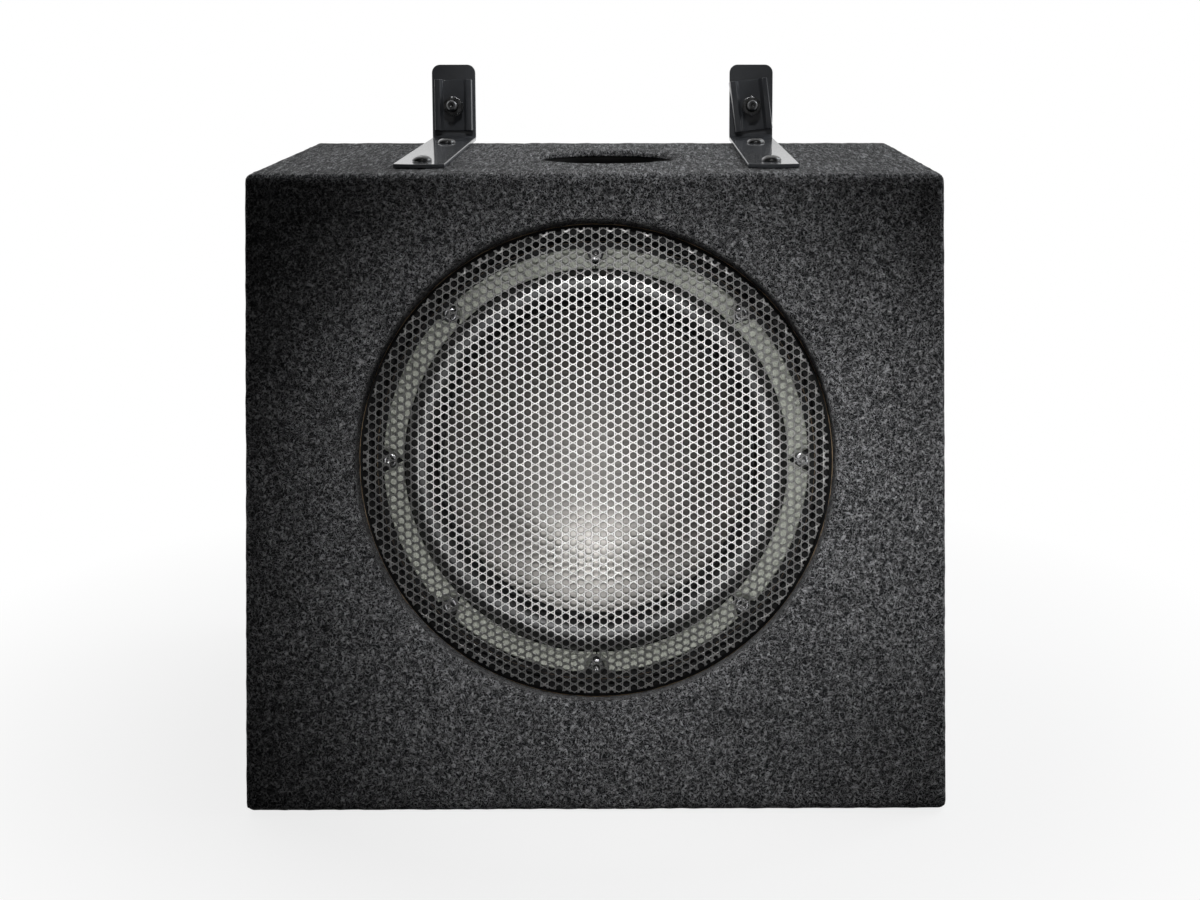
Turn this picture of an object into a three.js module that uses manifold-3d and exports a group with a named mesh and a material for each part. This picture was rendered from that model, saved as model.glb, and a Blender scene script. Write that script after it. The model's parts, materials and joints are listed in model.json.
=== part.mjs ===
// Powered car subwoofer: a carpeted wedge enclosure with a ten-inch driver behind a pressed grille,
// a reflex port in its top, an amplifier in its right side and two clamp brackets over its rear edge.
// Millimetres, +Z up. The baffle faces -Y, and the origin is the middle of the underside.
import * as THREE from "three";
import { mergeVertices } from "three/addons/utils/BufferGeometryUtils.js";
import Module from "manifold-3d";

const wasm = await Module();
wasm.setup();

const radians = THREE.MathUtils.degToRad;
const gap = 0.3; // clearance where two pieces meet
const weld = 1e-3; // vertices closer than this are one

// Enclosure
const width = 420;
const height = 370;
const depth = 345; // along the floor
const lean = radians(15); // of the baffle, back from vertical
const carpetThickness = 3;
const boardThickness = 16;
const edgeRound = 7; // of the carpet's corners in side view
const skin = carpetThickness + gap; // from the outer surface to the timber
const innerHalfWidth = width / 2 - skin - boardThickness - gap;
const backY = depth / 2;

// Driver, placed by its distance down the baffle from the top edge
const driverDrop = 171;
const recessRadius = 144; // of the carpeted hole in the front
const cutoutRadius = 115.5; // of the hole that the basket drops into
const roundSegments = 40;
const driverSegments = 32; // of the parts behind the baffle
const boreSegments = 10;
const driverScrews = 8;
const driverScrewCircle = 125; // radius
const screwTurn = (2 * Math.PI) / driverScrews;
const screwNotch = 7.4; // radius of the gasket's gap round each screw

// Levels along the driver's axis, from the carpet's surface
const flangeFront = -17.3;
const coneRimZ = -15.2;
const spiderZ = -71.7;
const motorTop = -96;
const magnetTop = -104;
const magnetBottom = -128;
const motorBottom = -136;
const throughFront = [-60, 30]; // past both faces of the front

// Radii about the driver's axis
const coneRadius = 95.9;
const dishRadius = 92.5;
const surroundMiddle = 106;
const formerRadius = 25.4; // of the coil former's outside
const poleRadius = 24.3;
const plateRadius = 62;
const magnetRadius = 70;

// Reflex port in the top
const portX = 5;
const portRadius = 44;
const portWall = 3;
const portLength = 107;
const throughTop = [300, 400]; // heights past both faces of the top
const topFrontY = frontY(height, 0);
const portY = (topFrontY + backY) / 2;

// Clamp brackets
const bracketX = 110;
const bracketWidth = 32;
const bracketPlate = 2.5;
const bracketTopZ = height + gap + bracketPlate;
const footFrontY = topFrontY + 35;
const uprightBaseY = topFrontY + 257.5;
const uprightHeight = 53;
const uprightLean = radians(8);
const bracketScrewYs = [topFrontY + 57, topFrontY + 203];
const bracketScrewRadius = 2.4;
const studHeight = 22; // above the foot, along the upright
const studRadius = 3.6;
const studReach = 19; // from the upright's face
const rightJawTurn = radians(7);

// Amplifier in the right side
const ampY = 70;
const ampZ = 190;
const ampWide = 120; // along Y
const ampTall = 200;
const ampPlate = 3;
const ampFaceX = width / 2 + gap + ampPlate;
const bayWide = 103;
const bayTall = 183;

const finishes = {
  timber: finish(0x9a7b55, 0.85, 0),
  carpet: finish(0x2b2c2e, 1, 0),
  wadding: finish(0xd9d6cc, 1, 0),
  portPlastic: finish(0x141414, 0.7, 0),
  grille: finish(0x8c8c88, 0.35, 0.7),
  grilleRing: finish(0x121212, 0.6, 0),
  basket: finish(0x1b1b1c, 0.45, 0.6),
  gasket: finish(0x878a80, 0.9, 0),
  rubber: finish(0x4a4947, 0.6, 0),
  paper: finish(0x222222, 0.9, 0),
  dish: finish(0xa9a39b, 0.35, 0.4),
  polyimide: finish(0xa5692c, 0.5, 0),
  copper: finish(0xb4683a, 0.35, 1),
  spider: finish(0xc79a4b, 0.95, 0),
  plate: finish(0x8e9297, 0.4, 1),
  ferrite: finish(0x2d2e30, 0.75, 0.1),
  blackPlastic: finish(0x111112, 0.5, 0),
  blackScrew: finish(0x17171a, 0.35, 0.8),
  bracket: finish(0x16181b, 0.3, 0.6),
  ampAlloy: finish(0x1c1d1f, 0.45, 0.7),
  zincSteel: finish(0xa7a9aa, 0.4, 1),
  circuit: finish(0x1f5a34, 0.6, 0),
  fuse: finish(0x2f6fb8, 0.3, 0),
  cable: finish(0x1a1a1a, 0.6, 0),
};

function finish(color, roughness, metalness) {
  return new THREE.MeshStandardMaterial({ color, roughness, metalness });
}

// Y of the leaning front, moved in by `inset`, at height z
function frontY(z, inset) {
  return -depth / 2 + z * Math.tan(lean) + inset / Math.cos(lean);
}

// Solids

function solidOf(geometry) {
  const bare = geometry.clone();
  bare.deleteAttribute("normal");
  bare.deleteAttribute("uv");
  const merged = mergeVertices(bare, weld);
  const vertProperties = merged.attributes.position.array;
  const triVerts = new Uint32Array(merged.index.array);
  return new wasm.Manifold(new wasm.Mesh({ numProp: 3, vertProperties, triVerts }));
}

function geometryOf(solid) {
  const mesh = solid.getMesh();
  const geometry = new THREE.BufferGeometry();
  geometry.setAttribute("position", new THREE.BufferAttribute(mesh.vertProperties, 3));
  geometry.setIndex(new THREE.BufferAttribute(mesh.triVerts, 1));
  geometry.computeVertexNormals();
  return geometry;
}

function cut(body, tools) {
  return geometryOf(tools.reduce((left, tool) => left.subtract(solidOf(tool)), solidOf(body)));
}

function join(bodies) {
  return geometryOf(bodies.map(solidOf).reduce((all, body) => all.add(body)));
}

function common(bodies) {
  return geometryOf(bodies.map(solidOf).reduce((all, body) => all.intersect(body)));
}

function block(x, y, z) {
  const box = new THREE.BoxGeometry(x[1] - x[0], y[1] - y[0], z[1] - z[0]);
  return box.translate((x[0] + x[1]) / 2, (y[0] + y[1]) / 2, (z[0] + z[1]) / 2);
}

function around(middle, reach) {
  return [middle - reach, middle + reach];
}

// A round bar along Z
function bar(radius, z, segments = boreSegments) {
  const cylinder = new THREE.CylinderGeometry(radius, radius, z[1] - z[0], segments);
  return cylinder.rotateX(Math.PI / 2).translate(0, 0, (z[0] + z[1]) / 2);
}

// A solid of revolution about Z from [radius, z] points; a profile that leaves the axis closes on itself
function turned(profile, segments = roundSegments) {
  const points = profile.map(([radius, z]) => new THREE.Vector2(radius, z));
  if (THREE.ShapeUtils.isClockWise(points)) points.reverse();
  if (points[0].x > 0) points.push(points[0].clone());
  return new THREE.LatheGeometry(points, segments).rotateX(Math.PI / 2);
}

// A solid between x[0] and x[1] whose outline lies in the YZ plane
function slab(shape, x, curveSegments = 4) {
  const settings = { depth: x[1] - x[0], bevelEnabled: false, curveSegments };
  const alongX = new THREE.Matrix4().makeBasis(
    new THREE.Vector3(0, 1, 0),
    new THREE.Vector3(0, 0, 1),
    new THREE.Vector3(1, 0, 0),
  );
  return new THREE.ExtrudeGeometry(shape, settings).applyMatrix4(alongX).translate(x[0], 0, 0);
}

function polygon(points) {
  return new THREE.Shape(points.map(([a, b]) => new THREE.Vector2(a, b)));
}

// A polygon whose corners are rounded
function roundedPolygon(points, radius) {
  const shape = new THREE.Shape();
  points.forEach((point, i) => {
    const corner = new THREE.Vector2(...point);
    const before = new THREE.Vector2(...points.at(i - 1)).sub(corner).normalize();
    const after = new THREE.Vector2(...points[(i + 1) % points.length]).sub(corner).normalize();
    const reach = radius / Math.tan(before.angleTo(after) / 2);
    const start = corner.clone().addScaledVector(before, reach);
    const end = corner.clone().addScaledVector(after, reach);
    if (i === 0) shape.moveTo(start.x, start.y);
    else shape.lineTo(start.x, start.y);
    shape.quadraticCurveTo(corner.x, corner.y, end.x, end.y);
  });
  shape.closePath();
  return shape;
}

function rectangle(y, z) {
  return [
    [y[0], z[0]],
    [y[1], z[0]],
    [y[1], z[1]],
    [y[0], z[1]],
  ];
}

// Adds one named piece to a group
function piece(name, geometry, material, group = subwoofer) {
  const mesh = new THREE.Mesh(geometry, material);
  mesh.name = name;
  group.add(mesh);
  return mesh;
}

// Frames: the driver's axis leaves the baffle along local +Z, and a clamp's leaves its upright

const subwoofer = new THREE.Group();
subwoofer.name = "powered_subwoofer";

function leaningGroup(x, y, z, angle) {
  const group = new THREE.Group();
  group.rotation.x = Math.PI / 2 - angle;
  group.position.set(x, y, z);
  group.updateMatrix();
  subwoofer.add(group);
  return group;
}

const driverZ = height - driverDrop * Math.cos(lean);
const driver = leaningGroup(0, frontY(driverZ, 0), driverZ, lean);

// A cutter made in the driver's frame, carried to the enclosure's
function fromDriver(geometry) {
  return geometry.applyMatrix4(driver.matrix);
}

// [x, y] in the driver's frame of each of its screws, starting at the top
function driverScrewPlaces() {
  return Array.from({ length: driverScrews }, (_, i) => {
    const angle = Math.PI / 2 - i * screwTurn;
    return [driverScrewCircle * Math.cos(angle), driverScrewCircle * Math.sin(angle)];
  });
}

function bracketScrewBores(z) {
  const boreRadius = bracketScrewRadius + gap;
  return [-bracketX, bracketX].flatMap((x) =>
    bracketScrewYs.map((y) => bar(boreRadius, z).translate(x, y, 0)),
  );
}

// Timber enclosure

// The enclosure's side view, moved in by `inset`
function sideProfile(inset) {
  return [
    [frontY(inset, inset), inset],
    [backY - inset, inset],
    [backY - inset, height - inset],
    [frontY(height - inset, inset), height - inset],
  ];
}

// The side view of a board parallel to the leaning front, between two heights
function leaningProfile(inset, z) {
  return [
    [frontY(z[0], inset), z[0]],
    [frontY(z[0], inset + boardThickness), z[0]],
    [frontY(z[1], inset + boardThickness), z[1]],
    [frontY(z[1], inset), z[1]],
  ];
}

// The side view of a level board behind the baffle, between two heights
function levelProfile(z) {
  const inset = skin + boardThickness + gap;
  return [
    [frontY(z[0], inset), z[0]],
    [backY - skin, z[0]],
    [backY - skin, z[1]],
    [frontY(z[1], inset), z[1]],
  ];
}

function enclosureBoards() {
  const across = [-innerHalfWidth, innerHalfWidth];
  const ceiling = height - skin;
  const boreDepth = skin + boardThickness;
  const inside = [boreDepth + gap, height - boreDepth - gap];

  const recess = fromDriver(bar(recessRadius + skin, throughFront, roundSegments));
  const baffle = slab(polygon(leaningProfile(skin, [skin, ceiling])), across);
  piece("front_baffle", cut(baffle, [recess]), finishes.timber);

  const cutout = fromDriver(bar(cutoutRadius, throughFront, roundSegments));
  const pilotRadius = 2.5;
  const pilots = driverScrewPlaces().map(([x, y]) =>
    fromDriver(bar(pilotRadius, throughFront).translate(x, y, 0)),
  );
  const mountingBoard = slab(polygon(leaningProfile(boreDepth + gap, inside)), across);
  piece("driver_board", cut(mountingBoard, [cutout, ...pilots]), finishes.timber);

  const portBore = bar(portRadius + portWall + gap, throughTop, roundSegments).translate(portX, portY, 0);
  const top = slab(polygon(levelProfile([ceiling - boardThickness, ceiling])), across);
  const topBores = [portBore, ...bracketScrewBores(throughTop)];
  piece("top_panel", cut(top, topBores), finishes.timber);

  const bottom = slab(polygon(levelProfile([skin, skin + boardThickness])), across);
  piece("bottom_panel", bottom, finishes.timber);

  const rearY = [backY - skin - boardThickness, backY - skin];
  piece("rear_panel", block(across, rearY, inside), finishes.timber);

  const sideX = [innerHalfWidth + gap, width / 2 - skin];
  const side = slab(polygon(sideProfile(skin)), sideX);
  piece("right_side_panel", cut(side, [ampBay()]), finishes.timber);
  const leftX = [-sideX[1], -sideX[0]];
  piece("left_side_panel", slab(polygon(sideProfile(skin)), leftX), finishes.timber);
}

function ampBay() {
  const y = [ampY - bayWide / 2, ampY + bayWide / 2];
  const z = [ampZ - bayTall / 2, ampZ + bayTall / 2];
  const throughSide = [width / 3, width];
  return block(throughSide, y, z);
}

// One strip of carpet goes round the front, top, back and underside and turns into the driver's recess
function carpetWrap() {
  const loop = roundedPolygon(sideProfile(0), edgeRound);
  loop.holes.push(polygon(sideProfile(carpetThickness)));
  const strip = slab(loop, [-width / 2, width / 2]);
  const lipBottom = -(skin + boardThickness) + gap;
  const lip = turned([
    [recessRadius, lipBottom],
    [recessRadius + carpetThickness, lipBottom],
    [recessRadius + carpetThickness, -gap],
    [recessRadius, -gap],
  ]);
  const recess = fromDriver(bar(recessRadius, throughFront, roundSegments));
  const port = bar(portRadius + gap, throughTop, roundSegments).translate(portX, portY, 0);
  const cuts = [recess, port, ...bracketScrewBores(throughTop)];
  piece("carpet_wrap", join([cut(strip, cuts), fromDriver(lip)]), finishes.carpet);
}

function carpetSides() {
  const x = [width / 2 - carpetThickness, width / 2];
  const outline = polygon(sideProfile(skin));
  piece("carpet_right", cut(slab(outline, x), [ampBay()]), finishes.carpet);
  piece("carpet_left", slab(outline, [-x[1], -x[0]]), finishes.carpet);
}

function portTube() {
  const top = height - skin;
  const tube = turned([
    [portRadius, top - portLength],
    [portRadius + portWall, top - portLength],
    [portRadius + portWall, top],
    [portRadius, top],
  ]);
  piece("port_tube", tube.translate(portX, portY, 0), finishes.portPlastic);
}

function dampingWadding() {
  const thickness = 18;
  const across = [-175, 115];
  const heights = [60, 310];
  const front = backY - skin - boardThickness - gap - thickness;
  const outline = roundedPolygon(rectangle([front, front + thickness], heights), thickness / 3);
  piece("damping_wadding", slab(outline, across, 3), finishes.wadding);
}

// Driver, in its own frame: z is 0 at the carpet's surface and falls into the enclosure

function grille() {
  const rimRadius = recessRadius - 3;
  const discRadius = 110;
  const sheet = 1.2;
  const proud = 1.5;
  const fall = 13; // of the rim below the disc
  const meshProfile = [
    [0, proud - sheet],
    [discRadius, proud - sheet],
    [rimRadius, proud - sheet - fall],
    [rimRadius, proud - fall],
    [discRadius, proud],
    [0, proud],
  ];
  piece("grille_mesh", turned(meshProfile), finishes.grille, driver);
  const ringTop = proud - sheet - fall - gap;
  const ringBottom = flangeFront - 2;
  const ringInside = rimRadius - 6;
  const ringProfile = [
    [ringInside, ringBottom],
    [rimRadius, ringBottom],
    [rimRadius, ringTop],
    [ringInside, ringTop],
  ];
  piece("grille_ring", turned(ringProfile), finishes.grilleRing, driver);
}

function basket() {
  const sheet = 2;
  const flangeRadii = [110, 133];
  const seatRadii = [30, 64.5]; // of the ring that the motor is riveted to
  const profile = [
    [flangeRadii[0], flangeFront],
    [flangeRadii[0] - 0.4, -22],
    [seatRadii[1] + 1, -73.6],
    [seatRadii[1] - sheet, motorTop + sheet],
    [seatRadii[0], motorTop + sheet],
    [seatRadii[0], motorTop],
    [seatRadii[1], motorTop],
    [seatRadii[1], -79],
    [flangeRadii[0] + sheet, -24],
    [flangeRadii[0] + 4, flangeFront - sheet],
    [flangeRadii[1], flangeFront - sheet],
    [flangeRadii[1], flangeFront],
  ];
  const windowCount = 6;
  const windowWide = [-21, 21];
  const windowLevels = [-67, -34];
  const windows = Array.from({ length: windowCount }, (_, i) => {
    const opening = block([seatRadii[1] - 4, flangeRadii[1] - 3], windowWide, windowLevels);
    return opening.rotateZ((2 * i * Math.PI) / windowCount);
  });
  const screwBore = 2.5;
  const bores = driverScrewPlaces().map(([x, y]) => bar(screwBore, throughFront).translate(x, y, 0));
  const shell = cut(turned(profile, driverSegments), [...windows, ...bores]);
  piece("driver_basket", shell, finishes.basket, driver);
}

function gasket() {
  const bottom = flangeFront + gap;
  const top = bottom + 3.4;
  const radii = [116.4, 128.6];
  const ring = turned([
    [radii[0], bottom],
    [radii[1], bottom],
    [radii[1], top],
    [radii[0], top],
  ]);
  const notches = driverScrewPlaces().map(([x, y]) => bar(screwNotch, throughFront).translate(x, y, 0));
  piece("driver_gasket", cut(ring, notches), finishes.gasket, driver);
}

function driverScrewSet() {
  const seat = flangeFront + gap;
  const shank = 2.2;
  const head = 5;
  const screwLength = 24;
  const headHeight = 3.1;
  const profile = [
    [0, seat - screwLength],
    [shank, seat - screwLength + 3],
    [shank, seat],
    [head, seat],
    [head - 0.8, seat + headHeight - 0.7],
    [0, seat + headHeight],
  ];
  driverScrewPlaces().forEach(([x, y], i) => {
    const screw = turned(profile, boreSegments).translate(x, y, 0);
    piece(`driver_screw_${i + 1}`, screw, finishes.blackScrew, driver);
  });
}

// The half roll of rubber between the cone's edge and the basket
function surround() {
  const base = flangeFront + 0.4;
  const steps = 6;
  const wall = 1.2;
  const reach = 9.8;
  const rise = 9;
  const arc = (across, up) =>
    Array.from({ length: steps + 1 }, (_, i) => {
      const angle = (i * Math.PI) / steps;
      return [surroundMiddle + across * Math.cos(angle), base + up * Math.sin(angle)];
    });
  const profile = [...arc(reach, rise), ...arc(reach - wall, rise - wall).reverse()];
  piece("surround", turned(profile, driverSegments), finishes.rubber, driver);
}

function cone() {
  const neck = formerRadius + gap;
  const neckZ = -64.8;
  const lip = coneRadius - 2.6; // inside of its upright edge
  const body = [
    [coneRadius, coneRimZ - 0.4],
    [coneRadius, coneRimZ - 3.4],
    [neck + 1.5, neckZ],
    [neck, neckZ],
    [neck, neckZ + 2.2],
    [lip, coneRimZ - 2.2],
    [lip, coneRimZ - 0.4],
  ];
  piece("cone", turned(body, driverSegments), finishes.paper, driver);

  const bowl = 22; // depth of the dish at its middle
  const steps = 4;
  const face = (drop) =>
    Array.from({ length: steps + 1 }, (_, i) => {
      const share = i / steps;
      return [dishRadius * share, coneRimZ - drop - bowl * (1 - share * share)];
    });
  const dish = [...face(1.4), ...face(0).reverse()];
  piece("cone_dish", turned(dish, driverSegments), finishes.dish, driver);
}

function voiceCoil() {
  const formerWall = 0.5;
  const formerZ = [-109.5, -57];
  const former = [
    [formerRadius - formerWall, formerZ[0]],
    [formerRadius, formerZ[0]],
    [formerRadius, formerZ[1]],
    [formerRadius - formerWall, formerZ[1]],
  ];
  piece("voice_coil_former", turned(former, driverSegments), finishes.polyimide, driver);
  const windingRadii = [formerRadius + gap, formerRadius + gap + 1.2];
  const windingZ = [-109, -91];
  const winding = [
    [windingRadii[0], windingZ[0]],
    [windingRadii[1], windingZ[0]],
    [windingRadii[1], windingZ[1]],
    [windingRadii[0], windingZ[1]],
  ];
  piece("voice_coil", turned(winding, driverSegments), finishes.copper, driver);
}

// The corrugated disc that centres the voice coil
function spider() {
  const innerRadius = formerRadius + 0.5;
  const outerRadius = 64.6;
  const steps = 8;
  const wave = 1.8;
  const cloth = 1;
  const face = (z) =>
    Array.from({ length: steps + 1 }, (_, i) => {
      const radius = innerRadius + ((outerRadius - innerRadius) * i) / steps;
      return [radius, z + wave * Math.sin((i * Math.PI) / 2)];
    });
  const profile = [...face(spiderZ - cloth / 2), ...face(spiderZ + cloth / 2).reverse()];
  piece("spider", turned(profile, 24), finishes.spider, driver);
}

function motor() {
  const plateHole = 27.6;
  const topPlate = [
    [plateHole, magnetTop],
    [plateRadius, magnetTop],
    [plateRadius, motorTop - gap],
    [plateHole, motorTop - gap],
  ];
  piece("top_plate", turned(topPlate, driverSegments), finishes.plate, driver);
  const magnetHole = 33;
  const magnetRing = [
    [magnetHole, magnetBottom + gap],
    [magnetRadius, magnetBottom + gap],
    [magnetRadius, magnetTop - gap],
    [magnetHole, magnetTop - gap],
  ];
  piece("magnet", turned(magnetRing, driverSegments), finishes.ferrite, driver);
  const yokeChamfer = 4;
  const yoke = [
    [0, motorBottom],
    [plateRadius - yokeChamfer, motorBottom],
    [plateRadius, motorBottom + yokeChamfer],
    [plateRadius, magnetBottom],
    [poleRadius, magnetBottom],
    [poleRadius, motorTop + 1],
    [0, motorTop + 1],
  ];
  piece("back_plate", turned(yoke, driverSegments), finishes.plate, driver);
}

const terminalAngle = -Math.PI / 6;
const terminalReach = 101; // of its outer face from the axis
const terminalZ = -54;

function driverTerminal() {
  const wide = 24;
  const tall = 12;
  const thick = 8;
  const levels = [terminalZ - tall / 2, terminalZ + tall / 2];
  const body = block([terminalReach - thick, terminalReach], [-wide / 2, wide / 2], levels);
  piece("driver_terminal", body.rotateZ(terminalAngle), finishes.blackPlastic, driver);
}

// Leaves the terminal square to its face and runs to the amplifier's cover
function speakerLead() {
  const radius = 2.5;
  const clear = 2 * gap;
  const outward = new THREE.Vector3(1, 0, 0).applyAxisAngle(new THREE.Vector3(0, 0, 1), terminalAngle);
  const start = outward.clone().multiplyScalar(terminalReach + clear);
  start.z = terminalZ;
  start.applyMatrix4(driver.matrix);
  outward.transformDirection(driver.matrix);
  const end = new THREE.Vector3(ampCoverX - clear, ampY - 20, ampZ - 40);
  const path = new THREE.CatmullRomCurve3([
    start,
    start.clone().addScaledVector(outward, 6),
    start.clone().addScaledVector(outward, 18).add(new THREE.Vector3(0, 8, -6)),
    new THREE.Vector3((start.x + end.x) / 2 + 8, (start.y + end.y) / 2, end.z - 30),
    end.clone().add(new THREE.Vector3(-22, 0, -4)),
    end.clone().add(new THREE.Vector3(-6, 0, 0)),
    end,
  ]);
  const section = new THREE.Shape();
  section.absarc(0, 0, radius, 0, 2 * Math.PI);
  const settings = { steps: 20, curveSegments: 2, extrudePath: path };
  piece("speaker_lead", new THREE.ExtrudeGeometry(section, settings), finishes.cable);
}

// Clamp brackets over the rear edge

// Side view of the bracket's bent plate
function bracketProfile() {
  const bend = 3; // inner radius
  const sine = Math.sin(uprightLean);
  const cosine = Math.cos(uprightLean);
  const bendY = uprightBaseY + bend * (1 - sine) * Math.tan(uprightLean) - bend * cosine;
  const bendZ = bracketTopZ + bend;
  const tip = [uprightBaseY + uprightHeight * sine, bracketTopZ + uprightHeight * cosine];
  const shape = new THREE.Shape();
  shape.moveTo(footFrontY, bracketTopZ - bracketPlate);
  shape.absarc(bendY, bendZ, bend + bracketPlate, -Math.PI / 2, -uprightLean, false);
  shape.lineTo(tip[0] + bracketPlate * cosine, tip[1] - bracketPlate * sine);
  shape.lineTo(tip[0], tip[1]);
  shape.absarc(bendY, bendZ, bend, -uprightLean, -Math.PI / 2, true);
  shape.lineTo(footFrontY, bracketTopZ);
  shape.closePath();
  return shape;
}

// Plan outline that rounds the foot's front end
function footOutline() {
  const half = bracketWidth / 2;
  const bulge = 7;
  const outline = new THREE.Shape();
  outline.moveTo(half, footFrontY + bulge);
  outline.lineTo(half, uprightBaseY + uprightHeight);
  outline.lineTo(-half, uprightBaseY + uprightHeight);
  outline.lineTo(-half, footFrontY + bulge);
  outline.quadraticCurveTo(0, footFrontY - bulge, half, footFrontY + bulge);
  const settings = { depth: 2 * uprightHeight, bevelEnabled: false, curveSegments: 10 };
  return new THREE.ExtrudeGeometry(outline, settings).translate(0, 0, height - uprightHeight / 2);
}

// Front outline that rounds the upright's top corners, pushed along the upright's normal
function uprightOutline() {
  const half = bracketWidth / 2;
  const corner = 6;
  const outline = new THREE.Shape();
  outline.moveTo(-half, -2 * uprightHeight);
  outline.lineTo(half, -2 * uprightHeight);
  outline.lineTo(half, uprightHeight - corner);
  outline.absarc(half - corner, uprightHeight - corner, corner, 0, Math.PI / 2, false);
  outline.absarc(corner - half, uprightHeight - corner, corner, Math.PI / 2, Math.PI, false);
  outline.closePath();
  const settings = { depth: depth, bevelEnabled: false, curveSegments: 5 };
  const prism = new THREE.ExtrudeGeometry(outline, settings).translate(0, 0, -2 * uprightHeight);
  prism.rotateX(Math.PI / 2 - uprightLean);
  return prism.translate(0, uprightBaseY, bracketTopZ);
}

function bracketScrew(name, x, y) {
  const seat = bracketTopZ + gap;
  const screwLength = 24;
  const headRadius = 6.2;
  const headHeight = 3.4;
  const profile = [
    [0, seat - screwLength],
    [bracketScrewRadius, seat - screwLength + 4],
    [bracketScrewRadius, seat],
    [headRadius, seat],
    [headRadius - 0.6, seat + 2],
    [headRadius - 3, seat + headHeight - 0.2],
    [0, seat + headHeight],
  ];
  piece(name, turned(profile, 12).translate(x, y, 0), finishes.blackScrew);
}

function bracket(side, x) {
  const plate = slab(bracketProfile(), [-bracketWidth / 2, bracketWidth / 2], 6);
  const bent = common([plate, footOutline(), uprightOutline()]).translate(x, 0, 0);
  const bores = bracketScrewBores(throughTop).filter((bore) => {
    bore.computeBoundingBox();
    return bore.boundingBox.min.x * x > 0;
  });
  piece(`bracket_${side}`, cut(bent, bores), finishes.bracket);
  bracketScrew(`bracket_screw_${side}_front`, x, bracketScrewYs[0]);
  bracketScrew(`bracket_screw_${side}_rear`, x, bracketScrewYs[1]);
}

// The pressed clamp plate, in the clamp's frame: two ridges beside a recessed web
function jawGeometry() {
  const heights = [4.8 - studHeight, 41.8 - studHeight];
  const sheet = 2;
  const faceZ = gap;
  const webTop = faceZ + sheet;
  const ridgeTop = faceZ + 6;
  const webHalf = 7.6;
  const jawHalf = 14.4;
  const half = [
    [webHalf, webTop],
    [webHalf + 1.9, ridgeTop],
    [jawHalf - 1, ridgeTop],
    [jawHalf, faceZ],
    [jawHalf - sheet, faceZ],
    [jawHalf - 2.7, ridgeTop - sheet],
    [webHalf + 3.1, ridgeTop - sheet],
    [webHalf + 1.5, faceZ],
  ];
  const mirrored = half.map(([x, z]) => [-x, z]).reverse();
  const settings = { depth: heights[1] - heights[0], bevelEnabled: false };
  const pressing = new THREE.ExtrudeGeometry(polygon([...half, ...mirrored]), settings);
  pressing.rotateX(Math.PI / 2).translate(0, heights[1], 0);
  const studHole = studRadius + 0.7;
  return cut(pressing, [bar(studHole, [-ridgeTop, 2 * ridgeTop], 16)]);
}

function clampSet(side, x, jawTurn) {
  const clamp = leaningGroup(x, uprightBaseY, bracketTopZ, uprightLean);
  const axis = new THREE.Group();
  axis.position.y = studHeight;
  clamp.add(axis);

  const chamfer = 0.8;
  const studProfile = [
    [0, gap],
    [studRadius, gap],
    [studRadius, studReach - chamfer],
    [studRadius - chamfer, studReach],
    [0, studReach],
  ];
  piece(`clamp_stud_${side}`, turned(studProfile, 16), finishes.blackScrew, axis);

  const jaw = piece(`clamp_jaw_${side}`, jawGeometry(), finishes.bracket, axis);
  jaw.rotation.z = jawTurn;

  const washerRadii = [studRadius + 0.5, 7.2];
  const washerLevels = [2.6, 4.1];
  const washer = [
    [washerRadii[0], washerLevels[0]],
    [washerRadii[1], washerLevels[0]],
    [washerRadii[1], washerLevels[1]],
    [washerRadii[0], washerLevels[1]],
  ];
  piece(`clamp_washer_${side}`, turned(washer, 20), finishes.blackScrew, axis);

  const cornerRadius = 7.3;
  const nutLevels = [4.4, 10.6];
  const blank = bar(cornerRadius, nutLevels, 6);
  const nut = cut(blank, [bar(studRadius + gap, [0, studReach], 16)]);
  piece(`clamp_nut_${side}`, nut, finishes.blackScrew, axis);
}

// Amplifier: a finned plate over the carpet, a steel box behind it and the controls through it

const ampCoverX = 166;
const knobYs = { gain: 35, lowpass: 65, bass_boost: 95 };
const knobZ = 172;
const knobRadius = 7.5;
const knobLength = 11;
const shaftRadius = 3;
const switchPlace = [35, 140];
const switchHalf = [2, 1.75]; // of its lever, along Y and Z
const switchTravel = 3;
const jackYs = [60, 76];
const jackZ = 140;
const jackRadius = 4.2;
const fusePlace = [101, 140];
const fuseHalf = [9.5, 2.6];
const terminalPlace = [66, 114];
const terminalHalf = [22, 8];
const wirePitch = 14;

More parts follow.
